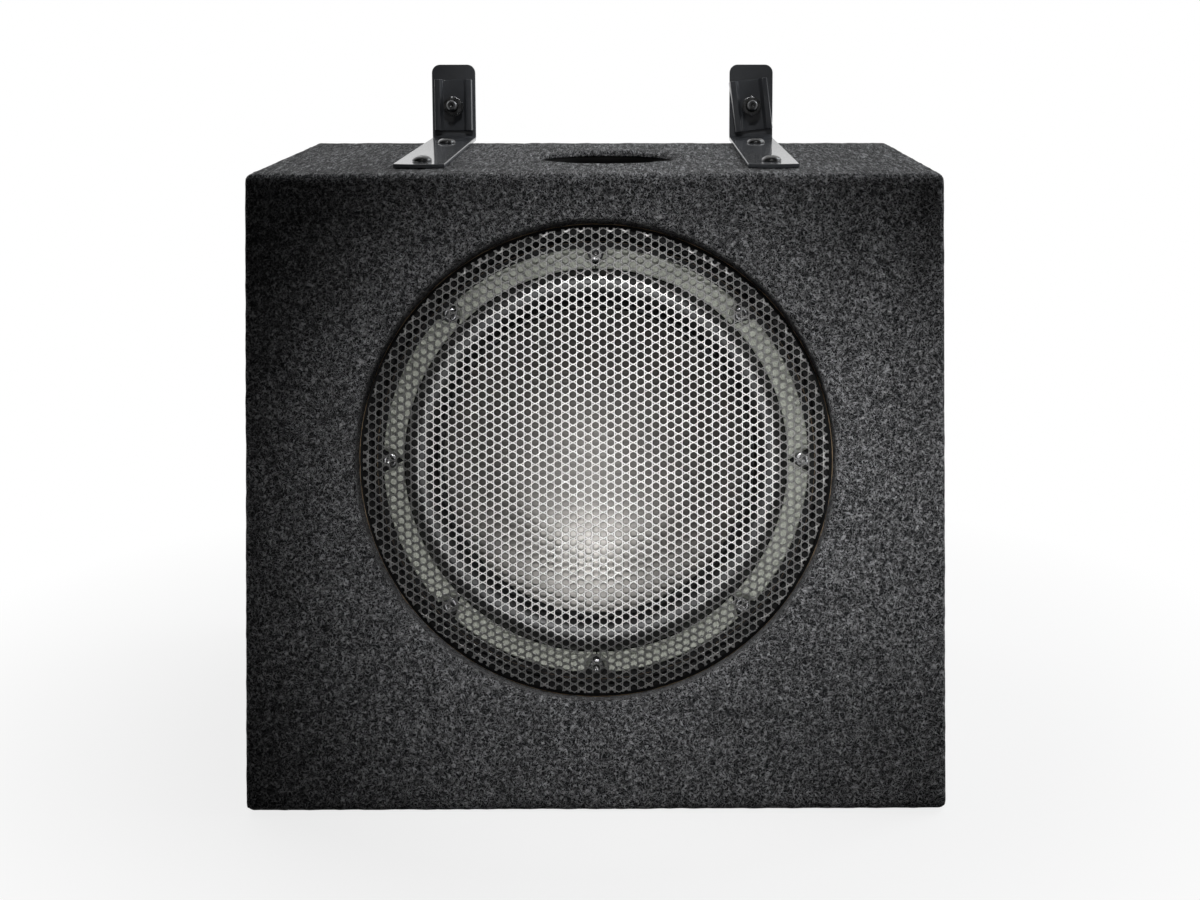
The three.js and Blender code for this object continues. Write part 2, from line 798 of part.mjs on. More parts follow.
function ampPanel() {
  const y = [ampY - ampWide / 2, ampY + ampWide / 2];
  const z = [ampZ - ampTall / 2, ampZ + ampTall / 2];
  const faceX = [ampFaceX - ampPlate, ampFaceX];
  const plateCorner = 5;
  const plate = slab(roundedPolygon(rectangle(y, z), plateCorner), faceX, 3);
  const finCount = 8;
  const finHalf = 1.1;
  const finX = [ampFaceX - 1, ampFaceX + 9];
  const finZ = [ampZ + 6, z[1] - 8];
  const finMargin = 10;
  const finPitch = (ampWide - 2 * finMargin) / (finCount - 1);
  const fins = Array.from({ length: finCount }, (_, i) => {
    const finY = y[0] + finMargin + i * finPitch;
    return block(finX, [finY - finHalf, finY + finHalf], finZ);
  });
  const through = [faceX[0] - 5, faceX[1] + 5];
  const roundHole = (radius, holeY, holeZ) =>
    bar(radius, through).rotateY(Math.PI / 2).translate(0, holeY, holeZ);
  const [switchY, switchZ] = switchPlace;
  const [fuseY, fuseZ] = fusePlace;
  const slotHalf = [switchHalf[0] + 0.4, switchHalf[1] + switchTravel / 2 + 0.4];
  const fuseRoom = [fuseHalf[0] + 0.5, fuseHalf[1] + 0.6];
  const holes = [
    ...Object.values(knobYs).map((knobY) => roundHole(shaftRadius + 0.5, knobY, knobZ)),
    ...jackYs.map((jackY) => roundHole(jackRadius + 0.4, jackY, jackZ)),
    block(through, around(switchY, slotHalf[0]), around(switchZ, slotHalf[1])),
    block(through, around(fuseY, fuseRoom[0]), around(fuseZ, fuseRoom[1])),
  ];
  piece("amp_panel", cut(join([plate, ...fins]), holes), finishes.ampAlloy);
}

function ampCover() {
  const wall = 1.5;
  const clear = 0.5; // all round, in the bay
  const half = [bayWide / 2 - clear, bayTall / 2 - clear];
  const shell = block([ampCoverX, width / 2], around(ampY, half[0]), around(ampZ, half[1]));
  const hollow = block([ampCoverX + wall, width], around(ampY, half[0] - wall), around(ampZ, half[1] - wall));
  piece("amp_cover", cut(shell, [hollow]), finishes.zincSteel);
}

function ampInside() {
  const boardX = [190, 191.6];
  const boardHalf = [46, 80];
  const board = block(boardX, around(ampY, boardHalf[0]), around(ampZ, boardHalf[1]));
  piece("amp_circuit_board", board, finishes.circuit);
  const [hole, rim] = [9, 22];
  const half = 8; // its height
  const soft = 3; // its corners
  const section = [
    [hole, soft - half],
    [hole + soft, -half],
    [rim - soft, -half],
    [rim, soft - half],
    [rim, half - soft],
    [rim - soft, half],
    [hole + soft, half],
    [hole, half - soft],
  ];
  const toroid = turned(section, 20).rotateY(Math.PI / 2);
  toroid.translate(boardX[0] - half - gap, ampY, ampZ + boardHalf[1] / 2);
  piece("amp_transformer", toroid, finishes.copper);
}

function knobs() {
  const base = ampFaceX + 2 * gap;
  const shaftEnd = 192.4;
  const profile = [
    [0, shaftEnd],
    [shaftRadius, shaftEnd],
    [shaftRadius, base],
    [knobRadius, base],
    [knobRadius - 0.5, base + knobLength - 1],
    [knobRadius - 1.5, base + knobLength],
    [0, base + knobLength],
  ];
  Object.entries(knobYs).forEach(([name, y]) => {
    const knob = turned(profile, 16).rotateY(Math.PI / 2).translate(0, y, knobZ);
    piece(`knob_${name}`, knob, finishes.blackPlastic);
  });
}

// The phase switch's lever, at the foot of its slot
function phaseSwitch() {
  const [y, z] = switchPlace;
  const x = [200, ampFaceX + 5];
  const lever = block(x, around(y, switchHalf[0]), around(z - switchTravel / 2, switchHalf[1]));
  piece("phase_switch", lever, finishes.blackPlastic);
}

function rcaJacks() {
  const margin = 8; // of the block round its jacks
  const body = block([194, 209.8], [jackYs[0] - margin, jackYs[1] + margin], around(jackZ, margin));
  const pinBore = 1.6;
  const tip = 223;
  const acrossAmp = (y, radius, x, segments) =>
    bar(radius, x, segments).rotateY(Math.PI / 2).translate(0, y, jackZ);
  const barrels = jackYs.map((y) => acrossAmp(y, jackRadius, [205, tip]));
  const bores = jackYs.map((y) => acrossAmp(y, pinBore, [212, tip + 7], 8));
  piece("rca_jacks", cut(join([body, ...barrels]), bores), finishes.blackPlastic);
}

function fuse() {
  const [y, z] = fusePlace;
  const body = block([206, 219], around(y, fuseHalf[0]), around(z, fuseHalf[1]));
  const bladeHalf = [2.5, 0.4];
  const blades = [y - 6, y + 6].map((bladeY) =>
    block([196, 207], around(bladeY, bladeHalf[0]), around(z, bladeHalf[1])),
  );
  piece("amp_fuse", join([body, ...blades]), finishes.fuse);
}

// Wires enter from below, and a screw from the front holds each one
function powerTerminal() {
  const [y, z] = terminalPlace;
  const front = ampFaceX + gap;
  const tip = front + 13;
  const strip = block([front, tip], around(y, terminalHalf[0]), around(z, terminalHalf[1]));
  const wireBore = 1.9;
  const screwBore = 3;
  const wireZ = [z - terminalHalf[1] - 2, z + 2];
  const entries = [y - wirePitch, y, y + wirePitch].flatMap((entryY) => [
    bar(wireBore, wireZ).translate(front + 5, entryY, 0),
    bar(screwBore, [front + 10, front + 20]).rotateY(Math.PI / 2).translate(0, entryY, z + 3),
  ]);
  piece("power_terminal", cut(strip, entries), finishes.blackPlastic);
}

enclosureBoards();
carpetWrap();
carpetSides();
portTube();
dampingWadding();
grille();
basket();
gasket();
driverScrewSet();
surround();
cone();
voiceCoil();
spider();
motor();
driverTerminal();
speakerLead();
bracket("left", -bracketX);
bracket("right", bracketX);
clampSet("left", -bracketX, 0);
clampSet("right", bracketX, rightJawTurn);
ampPanel();
ampCover();
ampInside();
knobs();
phaseSwitch();
rcaJacks();
fuse();
powerTerminal();

export default subwoofer;
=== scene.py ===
import json
import math
import bmesh
import bpy
from mathutils import Matrix, Vector, noise


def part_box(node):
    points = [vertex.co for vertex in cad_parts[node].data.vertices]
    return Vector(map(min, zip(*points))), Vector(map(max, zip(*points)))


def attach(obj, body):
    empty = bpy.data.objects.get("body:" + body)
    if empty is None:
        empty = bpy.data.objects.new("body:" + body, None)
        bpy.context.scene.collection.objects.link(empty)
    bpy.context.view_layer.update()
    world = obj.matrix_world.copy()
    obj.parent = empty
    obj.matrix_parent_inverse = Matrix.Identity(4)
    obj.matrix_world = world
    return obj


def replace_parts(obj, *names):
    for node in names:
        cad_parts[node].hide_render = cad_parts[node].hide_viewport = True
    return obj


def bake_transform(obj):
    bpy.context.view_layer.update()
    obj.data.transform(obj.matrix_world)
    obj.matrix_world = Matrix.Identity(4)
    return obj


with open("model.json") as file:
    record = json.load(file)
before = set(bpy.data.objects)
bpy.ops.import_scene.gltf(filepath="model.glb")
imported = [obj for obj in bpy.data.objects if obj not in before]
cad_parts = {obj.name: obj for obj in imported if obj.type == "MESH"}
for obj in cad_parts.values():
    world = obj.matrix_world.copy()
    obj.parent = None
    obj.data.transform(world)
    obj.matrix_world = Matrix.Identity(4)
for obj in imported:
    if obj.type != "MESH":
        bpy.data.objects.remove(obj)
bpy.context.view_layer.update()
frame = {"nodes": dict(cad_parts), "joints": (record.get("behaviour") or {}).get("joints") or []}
scene = bpy.context.scene
joints = {joint["name"]: joint for joint in frame["joints"]}
mm = 0.001


# Where things stand in the frame

def middleOf(node):
    low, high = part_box(node)
    return (low + high) / 2


def axisFrame(origin, outward):  # local z runs outward and local x stays level
    across = Vector((1, 0, 0))
    turn = Matrix((across, outward.cross(across), outward)).transposed()
    return Matrix.Translation(origin) @ turn.to_4x4()


driverOut = Vector(joints["cone_stroke"]["axis"])
lean = math.asin(driverOut.z)
magnetBehind = 116 * mm  # from the carpet's face to the magnet's middle
driverPlace = axisFrame(middleOf("magnet") + driverOut * magnetBehind, driverOut)

clampPlaces = {}
for side in ("left", "right"):
    nutJoint = joints[f"nut_turn_{side}"]
    clampOut = Vector(nutJoint["axis"])
    clampPlaces[side] = axisFrame(Vector(nutJoint["pos_m"]) - clampOut * 5 * mm, clampOut)


# Camera, lights and stage

cameraSettings = {
    "distance": 1.0267,  # from the front's middle
    "lens": 51.5,
    "offset": (0.0325, 0.0),
    "aim": (0, -0.1184, 0.2020),
    "shift": (-0.0417, 0.0125),
    "yaw": math.radians(-0.5),
}


def makeCamera():
    data = bpy.data.cameras.new("camera")
    data.lens = cameraSettings["lens"]
    data.shift_x, data.shift_y = cameraSettings["shift"]
    camera = bpy.data.objects.new("camera", data)
    scene.collection.objects.link(camera)
    aim = Vector(cameraSettings["aim"])
    place = axisFrame(aim, driverOut) @ Matrix.Translation(
        (cameraSettings["offset"][0], cameraSettings["offset"][1], cameraSettings["distance"])
    )
    turn = Matrix.Translation(aim) @ Matrix.Rotation(cameraSettings["yaw"], 4, "Z") @ Matrix.Translation(-aim)
    camera.matrix_world = turn @ place
    scene.camera = camera


areaLights = {
    "front": {
        "at": (0.1, -1.5, 0.62), "aim": (0.05, -0.1, 0.2), "size": (0.8, 0.6), "power": 0.25,
        "tint": (1, 0.99, 0.97),
    },
    "above": {
        "at": (1.05, 0.45, 1.2), "aim": (0.1, 0.05, 0.37), "size": (0.7, 0.7), "power": 6.5,
        "tint": (0.93, 0.97, 1),
    },
    "right": {"at": (1.4, -0.1, 0.6), "aim": (0, 0, 0.2), "size": (0.5, 0.7), "power": 2, "tint": (1, 1, 1)},
    "back": {
        "at": (-0.9, 1.5, 1.1), "aim": (0, 0.1, 0.2), "size": (1.2, 0.9), "power": 3, "tint": (1, 1, 1)
    },
}
spotLights = {
    "main": {
        "at": (0.02, -1.12, 1.08), "aim": (0.035, -0.12, 0.168), "power": 46, "angle": 23.5, "radius": 0.05
    },
    "grille": {
        "at": (0.02, -1.33, 0.48), "aim": (0.0, -0.12, 0.19), "power": 14, "angle": 18, "radius": 0.05
    },
    "rightSide": {
        "at": (0.55, -1.18, 0.42), "aim": (0.19, -0.12, 0.19), "power": 15, "angle": 15, "radius": 0.05
    },
    "brackets": {"at": (0, -0.85, 1.3), "aim": (0, 0.16, 0.41), "power": 22, "angle": 15, "radius": 0.05},
}
# brightness of what pieces reflect, along y
surroundings = {"behind": 0.85, "before": 0.015, "from": 0.02, "to": 0.5}


def aimed(name, data, at, aim):
    light = bpy.data.objects.new(name, data)
    light.location = at
    light.rotation_euler = (Vector(aim) - Vector(at)).to_track_quat("-Z", "Y").to_euler()
    light.visible_camera = False
    scene.collection.objects.link(light)


def makeLights():
    for name, values in areaLights.items():
        data = bpy.data.lights.new(name, "AREA")
        data.shape = "RECTANGLE"
        data.size, data.size_y = values["size"]
        data.energy = values["power"]
        data.color = values["tint"]
        aimed(name, data, values["at"], values["aim"])
    for name, values in spotLights.items():
        data = bpy.data.lights.new(name, "SPOT")
        data.energy = values["power"]
        data.spot_size = math.radians(values["angle"])
        data.spot_blend = 1
        data.shadow_soft_size = values["radius"]
        aimed(name, data, values["at"], values["aim"])


def makeSurroundings():  # white behind the object, dim in front of it, and white to the camera
    world = bpy.data.worlds.new("studio")
    world.use_nodes = True
    scene.world = world
    tree = world.node_tree
    coordinate = addNode(tree, "ShaderNodeTexCoord")
    parts = addNode(tree, "ShaderNodeSeparateXYZ")
    link(tree, coordinate.outputs["Generated"], parts.inputs[0])
    glow = mapped(
        tree,
        parts.outputs["Y"],
        (surroundings["from"], surroundings["to"]),
        (surroundings["before"], surroundings["behind"]),
    )
    path = addNode(tree, "ShaderNodeLightPath")
    link(
        tree,
        computed(tree, "MAXIMUM", glow, path.outputs["Is Camera Ray"]),
        tree.nodes["Background"].inputs["Strength"],
    )
    tree.nodes["Background"].inputs["Color"].default_value = (1, 1, 1, 1)
    scene.view_settings.view_transform = "Standard"


# Shader helpers

def newMaterial(name, **values):
    material = bpy.data.materials.new(name)
    material.use_nodes = True
    shader = material.node_tree.nodes["Principled BSDF"]
    for key, value in values.items():
        shader.inputs[key].default_value = value
    return material, material.node_tree, shader


def addNode(tree, kind, **settings):
    node = tree.nodes.new(kind)
    for key, value in settings.items():
        if key in node.inputs:
            node.inputs[key].default_value = value
        else:
            setattr(node, key, value)
    return node


def link(tree, source, target):
    tree.links.new(source, target)


def objectPoint(tree, scale=(1, 1, 1), rotation=(0, 0, 0), location=(0, 0, 0)):
    coordinate = addNode(tree, "ShaderNodeTexCoord")
    mapping = addNode(tree, "ShaderNodeMapping")
    mapping.inputs["Scale"].default_value = scale
    mapping.inputs["Rotation"].default_value = rotation
    mapping.inputs["Location"].default_value = location
    link(tree, coordinate.outputs["Object"], mapping.inputs["Vector"])
    return mapping.outputs["Vector"]


def noiseOf(tree, vector, scale, detail=2.0, roughness=0.5, distortion=0.0):
    node = addNode(tree, "ShaderNodeTexNoise")
    for key, value in (
        ("Scale", scale), ("Detail", detail), ("Roughness", roughness), ("Distortion", distortion)
    ):
        node.inputs[key].default_value = value
    link(tree, vector, node.inputs["Vector"])
    return node.outputs["Fac"]


def mapped(tree, value, source, target, clamp=True):
    node = addNode(tree, "ShaderNodeMapRange")
    node.clamp = clamp
    for key, number in zip(("From Min", "From Max", "To Min", "To Max"), (*source, *target)):
        node.inputs[key].default_value = number
    link(tree, value, node.inputs["Value"])
    return node.outputs["Result"]


def mixed(tree, factor, first, second, blend="MIX"):
    node = addNode(tree, "ShaderNodeMix")
    node.data_type = "RGBA"
    node.blend_type = blend
    for socket, value in ((node.inputs[0], factor), (node.inputs[6], first), (node.inputs[7], second)):
        if isinstance(value, bpy.types.NodeSocket):
            link(tree, value, socket)
        else:
            socket.default_value = value
    return node.outputs[2]


def computed(tree, operation, first, second=0.0):
    node = addNode(tree, "ShaderNodeMath")
    node.operation = operation
    for socket, value in zip(node.inputs, (first, second)):
        if isinstance(value, bpy.types.NodeSocket):
            link(tree, value, socket)
        else:
            socket.default_value = value
    return node.outputs[0]


def bumped(tree, shader, height, distance, strength=1.0):
    node = addNode(tree, "ShaderNodeBump")
    node.inputs["Distance"].default_value = distance
    node.inputs["Strength"].default_value = strength
    link(tree, height, node.inputs["Height"])
    link(tree, node.outputs["Normal"], shader.inputs["Normal"])


def grey(value, warm=0.0):
    return (value * (1 + warm), value, value * (1 - warm), 1)


# Shader effects that several materials share, as node groups

def newGroup(name, inputs, outputs):
    group = bpy.data.node_groups.new(name, "ShaderNodeTree")
    for label, kind in inputs:
        group.interface.new_socket(label, in_out="INPUT", socket_type=f"NodeSocket{kind}")
    for label, kind in outputs:
        group.interface.new_socket(label, in_out="OUTPUT", socket_type=f"NodeSocket{kind}")
    return group, group.nodes.new("NodeGroupInput").outputs, group.nodes.new("NodeGroupOutput").inputs


def surfaceGroup():  # mould grain, smears in the finish and rubbed edges
    inputs = (
        ("Colour", "Color"), ("Variation", "Float"), ("Roughness", "Float"), ("Grain Scale", "Float"),
        ("Grain Depth", "Float"), ("Wear", "Float"),
    )
    group, given, made = newGroup(
        "surfaceFinish", inputs, (("Colour", "Color"), ("Roughness", "Float"), ("Normal", "Vector"))
    )
    point = objectPoint(group)
    grain = noiseOf(group, point, 1000, 2, 0.5)
    link(group, given["Grain Scale"], grain.node.inputs["Scale"])
    smear = noiseOf(group, point, 55, 4, 0.62)
    patchy = mapped(group, smear, (0.3, 0.7), (-1, 1))
    shade = computed(group, "ADD", 1.0, computed(group, "MULTIPLY", patchy, given["Variation"]))
    shaded = mixed(group, 1.0, given["Colour"], shade, "MULTIPLY")
    geometry = addNode(group, "ShaderNodeNewGeometry")
    edge = mapped(group, geometry.outputs["Pointiness"], (0.515, 0.58), (0, 1))
    rubbed = computed(
        group, "MULTIPLY", edge, mapped(group, noiseOf(group, point, 260, 3, 0.6), (0.38, 0.6), (0.25, 1))
    )
    worn = computed(group, "MULTIPLY", rubbed, given["Wear"])
    link(group, mixed(group, worn, shaded, (0.34, 0.345, 0.36, 1)), made["Colour"])
    spread = computed(
        group,
        "ADD",
        mapped(group, smear, (0.3, 0.7), (0.86, 1.1)),
        mapped(group, grain, (0.3, 0.7), (-0.07, 0.07)),
    )
    link(group, computed(group, "MULTIPLY", given["Roughness"], spread), made["Roughness"])
    bump = addNode(group, "ShaderNodeBump")
    link(group, given["Grain Depth"], bump.inputs["Distance"])
    link(group, grain, bump.inputs["Height"])
    link(group, bump.outputs["Normal"], made["Normal"])
    return group


surfaceFinish = surfaceGroup()


# Materials

def finished(name, colour, roughness, grain=(1400, 0.00003), variation=0.14, wear=0.0, **values):
    material, tree, shader = newMaterial(name, **values)
    surface = addNode(tree, "ShaderNodeGroup", node_tree=surfaceFinish)
    for key, value in (
        ("Colour", colour), ("Variation", variation), ("Roughness", roughness), ("Grain Scale", grain[0]),
        ("Grain Depth", grain[1]), ("Wear", wear),
    ):
        surface.inputs[key].default_value = value
    for made, wanted in (("Colour", "Base Color"), ("Roughness", "Roughness"), ("Normal", "Normal")):
        link(tree, surface.outputs[made], shader.inputs[wanted])
    return material


feltLook = {
    "ground": (0.0105, 0.0108, 0.012, 1),
    "fibre": (0.46, 0.463, 0.475, 1),
    "fleck": (0.55, 0.55, 0.56, 1),
    "topStretch": 0.14,  # the top's nap is combed towards the front
    "relief": 0.0009,
}


def feltPoint(tree):
    coordinate = addNode(tree, "ShaderNodeTexCoord")
    combed = addNode(tree, "ShaderNodeMapping")
    combed.inputs["Scale"].default_value = (1, feltLook["topStretch"], 1)
    link(tree, coordinate.outputs["Object"], combed.inputs["Vector"])
    parts = addNode(tree, "ShaderNodeSeparateXYZ")
    link(tree, coordinate.outputs["Object"], parts.inputs[0])
    onTop = computed(tree, "GREATER_THAN", parts.outputs["Z"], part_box("carpet_wrap")[1].z - 0.0022)
    pick = addNode(tree, "ShaderNodeMix")
    pick.data_type = "VECTOR"
    link(tree, onTop, pick.inputs[0])
    link(tree, coordinate.outputs["Object"], pick.inputs[4])
    link(tree, combed.outputs["Vector"], pick.inputs[5])
    return pick.outputs[1]


def feltMaterial():  # near-black felt full of curled grey fibres, with a few pale flecks
    material, tree, shader = newMaterial(
        "charcoalFelt",
        **{"Roughness": 0.95, "Sheen Weight": 0.08, "Sheen Roughness": 0.5, "Specular IOR Level": 0.1},
    )
    point = feltPoint(tree)
    curls = noiseOf(tree, point, 330, 1.5, 0.55, 0.8)
    finer = noiseOf(tree, point, 610, 1.5, 0.55, 1.0)
    clumps = noiseOf(tree, point, 400, 2, 0.6, 0.4)
    patches = noiseOf(tree, point, 45, 3, 0.6)

    def thread(value, width):  # bright along the line where the noise crosses its middle
        return mapped(
            tree, computed(tree, "ABSOLUTE", computed(tree, "SUBTRACT", value, 0.5)), (0.0, width), (1, 0)
        )

    threads = computed(
        tree, "MAXIMUM", thread(curls, 0.05), computed(tree, "MULTIPLY", thread(finer, 0.055), 0.75)
    )
    lit = computed(tree, "MULTIPLY", threads, mapped(tree, clumps, (0.36, 0.6), (0.25, 1)))
    colour = mixed(tree, lit, feltLook["ground"], feltLook["fibre"])
    pale = mapped(tree, noiseOf(tree, point, 470, 1, 0.5, 0.5), (0.66, 0.8), (0, 0.8))
    colour = mixed(tree, pale, colour, feltLook["fleck"])
    shade = mapped(tree, patches, (0.3, 0.7), (0.82, 1.12))
    link(tree, mixed(tree, 1.0, colour, shade, "MULTIPLY"), shader.inputs["Base Color"])
    height = computed(tree, "ADD", computed(tree, "MULTIPLY", lit, 0.5), clumps)
    bumped(tree, shader, height, feltLook["relief"], 0.8)
    return material


def timberMaterial():
    material, tree, shader = newMaterial("fibreboard", Roughness=0.8)
    point = objectPoint(tree)
    fibre = noiseOf(tree, point, 700, 4, 0.7)
    patch = noiseOf(tree, point, 30, 3, 0.6)
    tone = mixed(tree, mapped(tree, fibre, (0.3, 0.7), (0, 1)), (0.27, 0.18, 0.1, 1), (0.45, 0.33, 0.2, 1))
    link(
        tree,
        mixed(tree, mapped(tree, patch, (0.3, 0.7), (0, 0.4)), tone, (0.33, 0.23, 0.14, 1)),
        shader.inputs["Base Color"],
    )
    bumped(tree, shader, fibre, 0.0002)
    return material


def dishMaterial():  # satin metal, brushed across
    material, tree, shader = newMaterial("satinDish", Metallic=0.95)
    streak = noiseOf(tree, objectPoint(tree, scale=(60, 900, 900)), 1.0, 3, 0.6)
    smear = noiseOf(tree, objectPoint(tree), 35, 3, 0.6)
    tone = mixed(
        tree, mapped(tree, streak, (0.3, 0.7), (0, 1)), (0.115, 0.11, 0.103, 1), (0.17, 0.163, 0.153, 1)
    )
    link(tree, tone, shader.inputs["Base Color"])
    link(tree, mapped(tree, smear, (0.3, 0.7), (0.38, 0.44)), shader.inputs["Roughness"])
    bumped(tree, shader, streak, 0.00002)
    return material


def foamMaterial():  # closed-cell foam, pitted
    material, tree, shader = newMaterial("gasketFoam", Roughness=0.9)
    point = objectPoint(tree)
    cells = addNode(tree, "ShaderNodeTexVoronoi")
    cells.inputs["Scale"].default_value = 900
    link(tree, point, cells.inputs["Vector"])
    patch = noiseOf(tree, point, 120, 3, 0.6)
    tone = mixed(
        tree,
        mapped(tree, cells.outputs["Distance"], (0.1, 0.7), (0, 1)),
        (0.24, 0.25, 0.215, 1),
        (0.46, 0.475, 0.42, 1),
    )
    link(
        tree,
        mixed(tree, mapped(tree, patch, (0.35, 0.65), (0, 0.45)), tone, (0.30, 0.31, 0.27, 1)),
        shader.inputs["Base Color"],
    )
    bumped(tree, shader, cells.outputs["Distance"], 0.0003)
    return material


def wovenMaterial(name, colour, thread):  # plain weave, seen as crossing threads
    material, tree, shader = newMaterial(name, Roughness=0.9)
    point = objectPoint(tree)
    waves = []
    for direction in ("X", "Z"):
        wave = addNode(tree, "ShaderNodeTexWave", bands_direction=direction)
        wave.inputs["Scale"].default_value = thread
        wave.inputs["Distortion"].default_value = 0.6
        link(tree, point, wave.inputs["Vector"])
        waves.append(wave.outputs["Fac"])
    weave = computed(tree, "MULTIPLY", *waves)
    darker = tuple(value * 0.55 for value in colour[:3]) + (1,)
    link(tree, mixed(tree, weave, darker, colour), shader.inputs["Base Color"])
    bumped(tree, shader, weave, 0.0002)
    return material


def circuitMaterial():  # green lacquer over copper runs
    material, tree, shader = newMaterial("circuitBoard", Roughness=0.35)
    point = objectPoint(tree)
    runs = addNode(tree, "ShaderNodeTexBrick")
    for key, value in (
        ("Scale", 60),
        ("Mortar Size", 0.05),
        ("Color1", (0.015, 0.11, 0.04, 1)),
        ("Color2", (0.012, 0.085, 0.03, 1)),
        ("Mortar", (0.05, 0.22, 0.09, 1)),
    ):
        runs.inputs[key].default_value = value
    turn = addNode(tree, "ShaderNodeMapping")
    turn.inputs["Rotation"].default_value = (0, math.pi / 2, 0)
    link(tree, point, turn.inputs["Vector"])
    link(tree, turn.outputs["Vector"], runs.inputs["Vector"])
    link(tree, runs.outputs["Color"], shader.inputs["Base Color"])
    bumped(tree, shader, runs.outputs["Fac"], 0.0001)
    return material


def waddingMaterial():  # off-white polyester, matted
    material, tree, shader = newMaterial("polyesterWadding", **{"Roughness": 0.95, "Sheen Weight": 0.4})
    point = objectPoint(tree)
    mat = noiseOf(tree, point, 260, 6, 0.7, 1.6)
    tone = mixed(tree, mapped(tree, mat, (0.3, 0.7), (0, 1)), (0.5, 0.48, 0.43, 1), (0.82, 0.8, 0.75, 1))
    link(tree, tone, shader.inputs["Base Color"])
    bumped(tree, shader, mat, 0.002)
    return material


dull = {"Specular IOR Level": 0.08}
plated = {"Metallic": 1.0}
materials = {
    "carpet": feltMaterial(),
    "timber": timberMaterial(),
    "dish_metal": dishMaterial(),
    "port_plastic": finished("portPlastic", grey(0.006), 0.65, **dull),
    "wadding": waddingMaterial(),
    "grille_steel": finished(
        "grilleSteel", grey(0.58, 0.01), 0.44, (2200, 0.00002), 0.08, **{"Metallic": 0.9}
    ),
    "grille_ring_plastic": finished("ringPlastic", grey(0.008), 0.55, **dull),
    "basket_steel": finished("basketSteel", grey(0.008), 0.5, (1800, 0.00004), **dull),
    "gasket_foam": foamMaterial(),
    "surround_rubber": finished("surroundRubber", grey(0.012, 0.02), 0.42, (1500, 0.00003)),
    "cone_paper": finished("conePaper", grey(0.02), 0.9, (600, 0.0002), 0.25),
    "former_film": finished("formerFilm", (0.36, 0.14, 0.03, 1), 0.4),
    "copper_wire": finished("copperWire", (0.72, 0.32, 0.16, 1), 0.35, **plated),
    "spider_cloth": wovenMaterial("spiderCloth", (0.55, 0.36, 0.12, 1), 420),
    "motor_steel": finished("motorSteel", grey(0.5), 0.38, (1600, 0.00003), wear=0.3, **plated),
    "ferrite": finished("ferrite", grey(0.03), 0.7, (1100, 0.00008), 0.3),
    "black_plastic": finished("blackPlastic", grey(0.012), 0.45, (1700, 0.00005)),
    "black_screw": finished("blackScrew", grey(0.09), 0.28, (2400, 0.00002), wear=0.5, **{"Metallic": 0.9}),
    "bracket_steel": finished(
        "bracketSteel",
        (0.09, 0.095, 0.105, 1),
        0.5,
        (900, 0.00001),
        0.12,
        **{"Specular IOR Level": 0.1, "Coat Weight": 1.0, "Coat Roughness": 0.07},
    ),
    "amp_alloy": finished("ampAlloy", grey(0.028), 0.42, (1500, 0.00005), 0.12, 0.5, **{"Metallic": 0.6}),
    "zinc_steel": finished("zincSteel", grey(0.5), 0.35, (500, 0.00002), 0.2, **plated),
    "circuit_board": circuitMaterial(),
    "fuse_plastic": finished("fusePlastic", (0.03, 0.15, 0.55, 1), 0.25, (1200, 0.00002)),
    "cable_jacket": finished("cableJacket", grey(0.02), 0.5, (900, 0.00006)),
}


# Mesh helpers

def faceOutward(bm, middle):  # an open shell, whose inside holds the middle
    bmesh.ops.recalc_face_normals(bm, faces=bm.faces)
    if sum(face.normal.dot(face.calc_center_median() - middle) * face.calc_area() for face in bm.faces) < 0:
        bmesh.ops.reverse_faces(bm, faces=bm.faces)


def addPiece(name, bm, slot, body=None, nodes=(), smoothBelow=35):
    mesh = bpy.data.meshes.new(name)
    bm.to_mesh(mesh)
    bm.free()
    mesh.shade_smooth()
    mesh.set_sharp_from_angle(angle=math.radians(smoothBelow))
    obj = bpy.data.objects.new(name, mesh)
    scene.collection.objects.link(obj)
    mesh.materials.append(materials[slot])
    if body:
        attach(obj, body)
    if nodes:
        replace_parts(obj, *nodes)
    return obj


def finishNode(node, slot):
    obj = frame["nodes"][node]
    obj.data.materials.clear()
    obj.data.materials.append(materials[slot])


def spun(profile, steps=96, closed=True, angle=2 * math.pi):  # [radius, z] in millimetres, about local z
    bm = bmesh.new()
    verts = [bm.verts.new((radius * mm, 0, z * mm)) for radius, z in profile]
    pairs = list(zip(verts, verts[1:]))
    if closed:
        pairs.append((verts[-1], verts[0]))
    edges = [bm.edges.new(pair) for pair in pairs]
    full = angle > 6.28
    bmesh.ops.spin(
        bm, geom=verts + edges, cent=(0, 0, 0), axis=(0, 0, 1), angle=angle, steps=steps, use_merge=full
    )
    bmesh.ops.remove_doubles(bm, verts=bm.verts, dist=1e-6)
    bmesh.ops.recalc_face_normals(bm, faces=bm.faces)
    return bm


def softenEdges(bm, width, segments=2, above=30):
    sharp = [edge for edge in bm.edges if edge.is_manifold and edge.calc_face_angle(0) > math.radians(above)]
    bmesh.ops.bevel(
        bm, geom=sharp, offset=width * mm, offset_type="OFFSET", affect="EDGES", segments=segments,
        profile=0.5, material=-1, clamp_overlap=True,
    )


def moved(bm, matrix):
    bmesh.ops.transform(bm, matrix=matrix, verts=bm.verts)
    return bm


def merged(parts):
    whole = bmesh.new()
    for bm in parts:
        mesh = bpy.data.meshes.new("part")
        bm.to_mesh(mesh)
        bm.free()
        whole.from_mesh(mesh)
        bpy.data.meshes.remove(mesh)
    return whole


